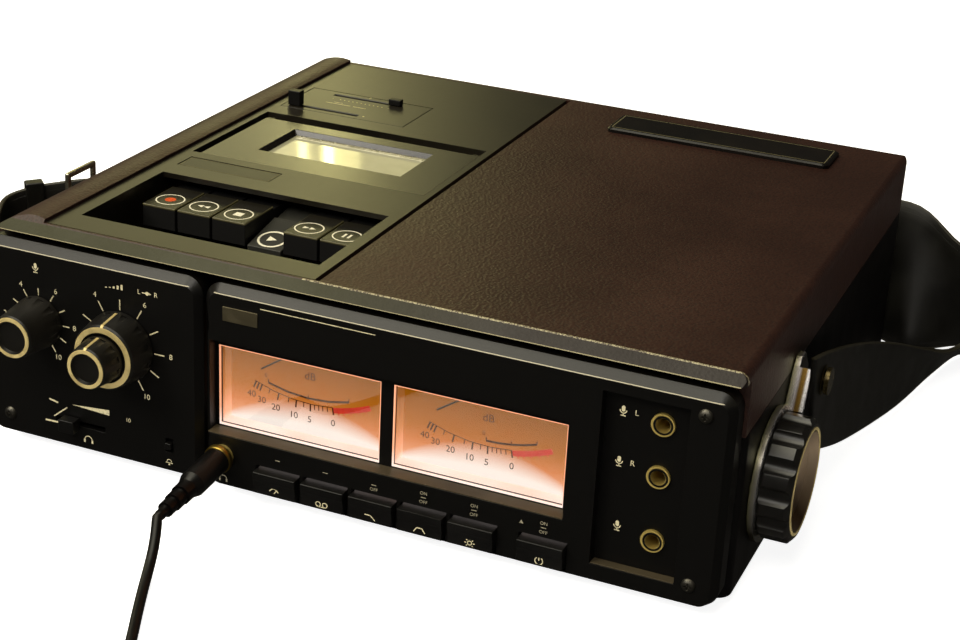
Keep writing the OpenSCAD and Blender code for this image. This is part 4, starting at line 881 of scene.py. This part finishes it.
wall_streaks = housing_lit.noise(30, 2, (1, 1, 0.2))
wall_glow = housing_lit.ramp(wall_height + 0.2 * wall_streaks - 0.1, (0.0, "fff2ec"), (0.14, "f6a985"),
                             (0.5, "bd7338"), (1.0, "7a4508"))
housing_lit.surface(Base_Color="8a7a66", Emission_Color=wall_glow)
dress("meter_housings", housing_lit, 0.25)
# The scale's print glows a little, as painted light from the meter lamp behind the dial.
scale_ink = Finish("scale_ink", Roughness=0.6, Specular_IOR_Level=0.1, Emission_Strength=0.5)
scale_ink.surface(Base_Color=scale_ink.mix(scale_ink.noise(700, 2), "180a02", "301606"),
                  Emission_Color="542a0c")
scale_red = Finish("scale_red", Roughness=0.6, Emission_Strength=0.35)
scale_red.surface(Base_Color=scale_red.mix(scale_red.noise(300, 2), "c8301c", "a82414"),
                  Emission_Color="e0402c")
arc_middle, arc_r, upper_r = 116.5, 71, 68.4
dial_face, figure_drop = -136.2, 7.5
meter_x = {"left": -18.3, "right": 65.1}
upper_scale = {"left": (-20.3, 18.7), "right": (-0.6, 22)}
scale_figures = {"40": -28.6, "30": -23.6, "20": -16.6, "10": -7.8, "5": 0, "0": 11.4}


def arc_z(x, r=arc_r):
    return arc_middle - (r * r - x * x) ** 0.5


def scale_arc(x, x0, x1, r, width):
    """A printed arc round the scale's centre, between two distances from the middle of the dial."""
    start, end = [270 + degrees(asin(edge / r)) for edge in (x0, x1)]
    return ink_ring(x, arc_middle, r + width / 2, r - width / 2, start, end)


def scale_tick(x, at, length, width):
    """A tick outwards from the scale's arc, at a distance from the middle of the dial."""
    reach = (arc_r + length) / arc_r
    end = (x + at * reach, arc_middle - (arc_middle - arc_z(at)) * reach)
    return ink_line((x + at, arc_z(at)), end, width)


for side, x in meter_x.items():
    first, last = upper_scale[side]
    marks = [scale_arc(x, -27, 11, arc_r, 0.35), scale_arc(x, first, last, upper_r, 1.0)]
    marks += [scale_tick(x, at, 2.2, 0.4) for at in (-19.5, -10.2, -2.9, 2.3, 4.3, 6.2, 8.4)]
    marks += [scale_tick(x, at, 3.4, 0.7) for at in (-26.3, -24.9, -23.4, -15.1, -6.5, 0.3, 11)]
    marks += [ink_line((x + at, arc_z(at, upper_r)), (x + at, arc_z(at, upper_r) + 1.8), 0.5)
              for at in (first, (first + last) / 2, last)]
    marks += [ink_text(figure, x + at, arc_z(at) - figure_drop, 3.0)
              for figure, at in scale_figures.items()]
    marks += [ink_text("dB", x, 58.6, 3.6),
              ink_text("0", x + first - 1.2, arc_z(first, upper_r) + 3.2, 2)]
    ink_print(side + "_scale", marks, scale_ink, upright(dial_face))
    band = [scale_arc(x, 11.4, 29, arc_r + 1.3, 2.6)]
    band += [scale_tick(x, at, 3.6, 0.5) for at in (13.5, 16, 19, 22.5, 26)]
    ink_print(side + "_red_band", band, scale_red, upright(dial_face))
lens_clear = Finish("lens_clear", IOR=1.49, Transmission_Weight=1.0)
lens_clear.surface(Base_Color="fff6ee", Roughness=0.003 + 0.01 * lens_clear.noise(60, 3))
lens_clear.cover(frame["nodes"]["meter_lenses"])
lit_edge = Finish("lit_edge", Roughness=0.3, Emission_Strength=0.9)
_, _, edge_z = lit_edge.axes()
edge_low = lit_edge.spread(edge_z + 4 * mm * lit_edge.noise(40, 2), 33 * mm, 42 * mm)
lit_edge.surface(Base_Color="c08a6a",
                 Emission_Color=lit_edge.mix(edge_low, "fffaf4", "f0a27c"))
for side, x in meter_x.items():
    slab(side + "_lens_edge", (x - 38.7, -147.6, 31.5), (x + 38.7, -146.2, 69.5), 0.08, lit_edge,
         holes=[((x - 38.1, -150, 32.3), (x + 38.4, -140, 69.15))])
needle_black = moulded("needle_black", "2a180a", "3a2412", 0.4)
for side in meter_x:
    needle_black.cover(frame["nodes"][side + "_needle"])

# Level controls: two potentiometers behind the left block, a pair of knobs on one axis and a
# single knob, all in black plastic with broad flutes, a gilt rim ring and a gilt pointer line.
knob_black = moulded("knob_black", "100e0b", "1a1712", 0.34, 0.4, 0.35)
dress("level_pots", chassis_steel, 0.25)
gilt = Finish("gilt", Metallic=0.35)
tarnish = gilt.spread(gilt.noise(160, 4), 0.45, 0.75)
gilt.surface(Base_Color=gilt.mix(tarnish, "cdb87c", "a18d58"), Roughness=0.34 + 0.2 * tarnish)


def gilt_ring(name, x, z, face_y, inner, outer, body):
    """A gilt ring let into the rim of a knob's face."""
    section = ((inner, 0), (outer, 0), (outer + 0.25, -0.35), (outer + 0.25, 0.02),
               (outer - 0.1, 0.2), (inner, 0.2))
    settle(sweep(name, section, 2 * pi, 48), upright(face_y, x, z), gilt, body)


def pointer(name, x, z, profile, body):
    """A gilt line along a knob's top land and over its rim; its profile is depths and radii."""
    outer = [(y, r + 0.14) for y, r in profile]
    line = ink_patch(profile + outer[::-1])
    line.name = name
    wide = Matrix.Diagonal((1, 1, 1.3 * mm / ink_t, 1))
    stand = Matrix(((0, 0, 1, 0), (1, 0, 0, 0), (0, 1, 0, 0), (0, 0, 0, 1)))
    settle(line, Matrix.Translation(((x - 0.65) * mm, 0, z * mm)) @ stand @ wide, gilt, body)


input_axis, blend_axis = (-101.5, 62), (-143.5, 65)
for node in ("input_outer_knob", "input_inner_knob", "blend_knob"):
    dress(node, knob_black, 0.5)
gilt_ring("outer_knob_ring", *input_axis, -170.1, 11.7, 13.9, "input_outer_knob_body")
gilt_ring("inner_knob_ring", *input_axis, -183.2, 7.2, 8.6, "input_inner_knob_body")
gilt_ring("blend_knob_ring", *blend_axis, -177.1, 7.7, 9.1, "blend_knob_body")
pointer("outer_knob_line", *input_axis, [(-158.4, 16.5), (-169.1, 15.0), (-170.15, 14.0)],
        "input_outer_knob_body")
pointer("inner_knob_line", *input_axis, [(-172.8, 10.5), (-182.2, 9.5), (-183.25, 8.6)],
        "input_inner_knob_body")


def dial_marks(x, z, inner, outer, figures_r, figures):
    """Ticks from 0 to 10, 30 degrees to a step with 5 straight up, and the figures asked for."""
    marks = []
    for value in range(11):
        angle = radians(90 - (value - 5) * 30)
        u, v = cos(angle), sin(angle)
        marks.append(ink_line((x + inner * u, z + inner * v), (x + outer * u, z + outer * v), 0.55))
        if value in figures:
            marks.append(ink_text(str(value), x + figures_r * u, z + figures_r * v, 2.5))
    return marks


def microphone(x, z):
    """A small microphone sign: a capsule in a forked stand."""
    capsule = [(x + 0.75 * cos(a), z + (1.5 if k < 9 else 0.4) + 0.75 * sin(a)) for k, a in
               enumerate([pi * k / 8 for k in range(9)] + [pi + pi * k / 8 for k in range(9)])]
    return [ink_patch(capsule), ink_ring(x, z + 0.4, 1.6, 1.2, 180, 360),
            ink_line((x, z - 1), (x, z - 2), 0.4), ink_line((x - 1.1, z - 2.1), (x + 1.1, z - 2.1), 0.4)]


def level_bar(x, low, high):
    """An upright printed bar, 1 mm wide."""
    return ink_patch([(x, low), (x + 1, low), (x + 1, high), (x, high)])


def headphones(x, z, bow_r, ear, pad_l, pad_w):
    """A headphone sign: a bow with a pad at each end."""
    pads = [ink_line((at, z + 0.2), (at, z + 0.2 - pad_l), pad_w) for at in (x - ear, x + ear)]
    return [ink_ring(x, z, bow_r, bow_r - 0.4, 0, 180)] + pads


left_marks = (dial_marks(*input_axis, 17, 22, 25.2, (0, 4, 6, 8, 10))
              + dial_marks(*blend_axis, 12.2, 15.6, 18.2, (0, 2, 4, 6, 8, 10)))
left_marks += microphone(-144.5, 90) + [
    ink_text("L", -91.7, 89.6, 2.2), ink_text("R", -83.3, 89.6, 2.2), ink_dot(-87.6, 89.6, 0.9),
    ink_line((-90.2, 89.6), (-88.6, 89.6), 0.4), arrow(-86.1, 89.6, 0.9)]
left_marks += [level_bar(-104.8 + 2 * k, 88.6, 89.6 + 0.7 * k) for k in range(-2, 3)]
left_marks += [ink_patch([(-128.2, 27.3), (-108.6, 26.4), (-108.5, 29.1)]),
               ink_line((-137.9, 19.4), (-130.8, 25.2), 0.6),
               ink_line((-140.1, 27.5), (-135.5, 26.6), 0.8),
               ink_line((-142.7, 16.5), (-135.4, 16.7), 0.8), ink_text("10", -98.8, 26.4, 1.9)]
left_marks += headphones(-120, 11.5, 2.1, 2, 1.6, 0.9)
left_marks += [ink_ring(-78, 11, 1.3, 1.0, 0, 180), ink_line((-79.8, 10.5), (-76.2, 10.5), 0.4),
               ink_dot(-78, 9.7, 0.4)]
ink_print("left_block_print", left_marks, white_ink, upright(front_y))

# Switches: six wide rocker paddles under the meters, a slide control and a small push switch,
# with their signs printed on the paddles and ON and OFF beside them.
paddle_black = moulded("paddle_black", "080706", "0d0b09", 0.34, 0.4, 0.4)
for node in ("meter_switch", "tape_switch", "filter_switch", "limiter_switch", "lamp_switch",
             "power_switch", "phones_slider", "alarm_switch"):
    dress(node, paddle_black, 0.4)
paddle_x = [-23.9 + 23 * k for k in range(5)] + [99]
paddle_face, sign_z = -158.55, 11


def meter_sign(x, z):
    return [ink_ring(x, z - 0.6, 2.4, 2.0, 20, 160), ink_line((x, z - 0.6), (x + 1.3, z + 1.1), 0.4)]


def tape_sign(x, z):
    reels = [ink_ring(at, z, 1.3, 0.9) for at in (x - 1.6, x + 1.6)]
    return reels + [ink_line((x - 1.6, z - 1.2), (x + 1.6, z - 1.2), 0.35)]


def filter_sign(x, z):
    return ink_path([(x - 2.6, z + 0.9), (x + 0.2, z + 0.9), (x + 2.4, z - 1.2)], 0.45)


def limiter_sign(x, z):
    return ink_path([(x - 2.6, z - 1.2), (x - 1.2, z + 0.9), (x + 1.2, z + 0.9),
                     (x + 2.6, z - 1.2)], 0.45)


def lamp_sign(x, z):
    rays = [ink_line((x + 1.5 * cos(a), z + 1.5 * sin(a)), (x + 2.3 * cos(a), z + 2.3 * sin(a)), 0.4)
            for a in (pi / 4 * k for k in range(8))]
    return [ink_ring(x, z, 1.1, 0.75)] + rays


def power_sign(x, z):
    return [ink_ring(x, z, 1.9, 1.5, 125, 415), ink_line((x, z + 0.2), (x, z + 2.2), 0.45)]


paddle_signs = {"meter_switch": meter_sign, "tape_switch": tape_sign, "filter_switch": filter_sign,
                "limiter_switch": limiter_sign, "lamp_switch": lamp_sign, "power_switch": power_sign}
for x, (node, sign) in zip(paddle_x, paddle_signs.items()):
    ink_print(node + "_sign", sign(x, sign_z), white_ink, upright(paddle_face), node + "_body")
grey_ink = ink("grey_ink", "8d866f", "6a644f")
right_marks = [ink_line((x - 1.2, 24.9), (x + 1.2, 24.9), 0.35) for x in paddle_x]
right_marks += [ink_text("OFF", x, 22.8, 1.5) for x in paddle_x[2:]]
right_marks += [ink_text("ON", x, 26.9, 1.5) for x in paddle_x[3:]]
right_marks += [ink_patch([(88.2, 24.6), (90.2, 24.6), (89.2, 26.2)])]
right_marks += headphones(-50.7, 9.6, 1.9, 1.7, 1.4, 0.8)
ink_print("switch_print", right_marks, grey_ink, upright(front_y))

# Sockets: turned brass jack sockets, three for microphones and one for headphones, and the
# cross-head screws that hold the blocks.
socket_brass = Finish("socket_brass", Metallic=0.55)
turning = socket_brass.noise(300, 3, (1, 8, 1))
socket_brass.surface(Base_Color=socket_brass.mix(turning, "b39a4e", "d0b86a"),
                     Roughness=0.24 + 0.14 * turning)
for node in ("mic_jacks", "phones_jack"):
    dress(node, socket_brass, 0.4)
jack_x, jack_face, recess_y = 144, -151.7, -150.5
for number, z in enumerate((28.7, 57.6, 80.7)):
    bush = sweep("socket_bush_%d" % number, ((3.25, 0), (4.1, 0), (4.1, 0.12), (3.25, 0.12)))
    settle(bush, upright(jack_face, jack_x, z), paddle_black, "case")
screw_steel = bare_metal("screw_steel", "6d6a62", 0.35)
dress("front_screws", screw_steel, 0.2)
socket_marks = microphone(127, 82.7) + microphone(127, 60.4) + microphone(128.5, 31.5)
socket_marks += [ink_text("L", 132.6, 82.9, 2.4), ink_text("R", 132.6, 60.6, 2.4)]
ink_print("socket_print", socket_marks, white_ink, upright(recess_y))

# Strap lugs: a plated steel bracket and a fluted black thumb knob on each side of the case, its
# dished face lacquered brown with a gilt ring round it.
lug_plate = Finish("lug_plate", Metallic=0.8)
plate_x, _, plate_z = lug_plate.axes()
rubbed = lug_plate.noise(700, 3)
# The bands across the plate are painted reflections, and its lower part is darkened as painted shade.
plate_painted_reflections = lug_plate.ramp(lug_plate.spread(abs(plate_x), 175.5 * mm, strap_x), (0.0, "c4bd8c"),
                             (0.3, "d2cdd0"), (0.42, "75581e"), (0.6, "86682c"), (0.7, "f0eef0"),
                             (0.83, "e4dfe0"), (0.88, "4a4026"))
lower_painted_shade = lug_plate.spread(plate_z, 60 * mm, 25 * mm)
lug_plate.surface(Base_Color=lug_plate.mix(lower_painted_shade, plate_painted_reflections, "2c2618"),
                  Roughness=0.18 + 0.1 * rubbed, Normal=lug_plate.bump(rubbed, 0.03 * mm, 0.3))
lug_black = moulded("lug_black", "0e0c09", "191611", 0.26, 0.3, 0.7)
dish_brown = Finish("dish_brown", Metallic=0.4)
_, dish_y, dish_z = dish_brown.axes()
turned = dish_brown.turn_share(dish_y - lug_y * mm, dish_z - lug_z * mm)
swirl = dish_brown.noise(500, 3, (1, 0.15, 0.15))
# A bright streak and dark sectors round the dish are a painted highlight and painted shade.
painted_streak_and_shade = dish_brown.ramp(turned + 0.06 * swirl - 0.03, (0.0, "7a5630"), (0.3, "3c2a18"),
                        (0.55, "a08a70"), (0.75, "2c2016"), (1.0, "7a5630"))
dish_brown.surface(Base_Color=painted_streak_and_shade, Roughness=0.24 + 0.14 * swirl)
knob_face_x = 191.7
ring_section = ((21.6, 0), (22.9, 0), (23.2, -0.2), (23.0, 0.25), (21.9, 0.35))
dish_section = ((0.05, -5.35), (18.4, -3.85), (21.2, -0.2), (21.2, 0.0), (18.2, -3.65), (0.05, -5.15))
for side, sign in (("right", 1), ("left", -1)):
    dress(side + "_bracket", lug_plate, 0.4)
    dress(side + "_lug_knob", lug_black, 0.5)
    on_face = (Matrix.Translation((sign * knob_face_x * mm, lug_y * mm, lug_z * mm))
               @ Matrix.Rotation(sign * pi / 2, 4, "Y"))
    for name, section, finish in (("ring", ring_section, gilt), ("dish", dish_section, dish_brown)):
        turned_piece = sweep("%s_lug_%s" % (side, name), section, 2 * pi, 64)
        settle(turned_piece, on_face, finish, side + "_lug_knob_body")

# Floor and light: a wide pale floor, a warm barred window behind on the left, whose reflection
# gives the top its sheen, a side lamp for the left shoulder, an overhead softbox for the bevels,
# and dim fills from the front.
floor = new_piece("floor", bpy.ops.mesh.primitive_grid_add, x_subdivisions=8, y_subdivisions=8, size=12)
pale = Finish("pale_floor", Roughness=0.9, Emission_Color=(1, 1, 1, 1), Emission_Strength=0.9)
pale.surface(Base_Color=pale.mix(pale.noise(3, 2), (0.86, 0.86, 0.86, 1), (0.9, 0.9, 0.9, 1)))
pale.cover(floor)
floor.visible_glossy = False


def lamp(name, place, aim, size, watts, colour):
    """A rectangular softbox at a place, turned to what it lights."""
    light = bpy.data.lights.new(name, "AREA")
    light.shape = "RECTANGLE"
    light.size, light.size_y = size
    light.energy = watts
    light.color = colour
    held = linked(name, light)
    held.location = place
    held.rotation_euler = (Vector(aim) - Vector(place)).to_track_quat("-Z", "Y").to_euler()


window_aim, window_yellow, bar_yellow = (-0.08, 0.0, 0.85), (1.0, 0.91, 0.42), (1.0, 0.9, 0.36)
lamp("window", (-1.235, 1.9, 0.85), window_aim, (0.83, 0.8), 1.25, window_yellow)
lamp("window_left", (-1.42, 1.9, 0.85), window_aim, (0.62, 0.8), 1.15, window_yellow)
for bar, x, wide, watts in (("a", -1.062, 0.014, 0.2), ("b", -1.015, 0.016, 0.42),
                            ("c", -0.985, 0.05, 0.22)):
    lamp("window_bar_" + bar, (x, 1.84, 0.85), window_aim, (wide, 0.8), watts, bar_yellow)
lamp("side", (-2.0, 0.6, 1.0), (-0.17, 0.0, 0.11), (0.8, 0.8), 6, (1.0, 0.93, 0.6))
lamp("overhead", (-0.5, -0.35, 1.45), (-0.1, -0.1, 0.1), (1.3, 1.3), 22, (1.0, 0.94, 0.74))
lamp("fill", (-1.2, -1.6, 1.4), (0, -0.1, 0.05), (0.6, 0.6), 14, (1.0, 0.95, 0.85))
lamp("key", (0.2, -1.6, 1.7), (0, -0.05, 0.08), (0.8, 0.8), 12, (1.0, 0.95, 0.86))

world = bpy.data.worlds.new("studio")
bpy.context.scene.world = world
world.use_nodes = True
sky = world.node_tree.nodes["Background"].inputs
sky["Color"].default_value = (1.0, 0.93, 0.8, 1)
sky["Strength"].default_value = 0.04
bpy.context.scene.view_settings.view_transform = "Standard"
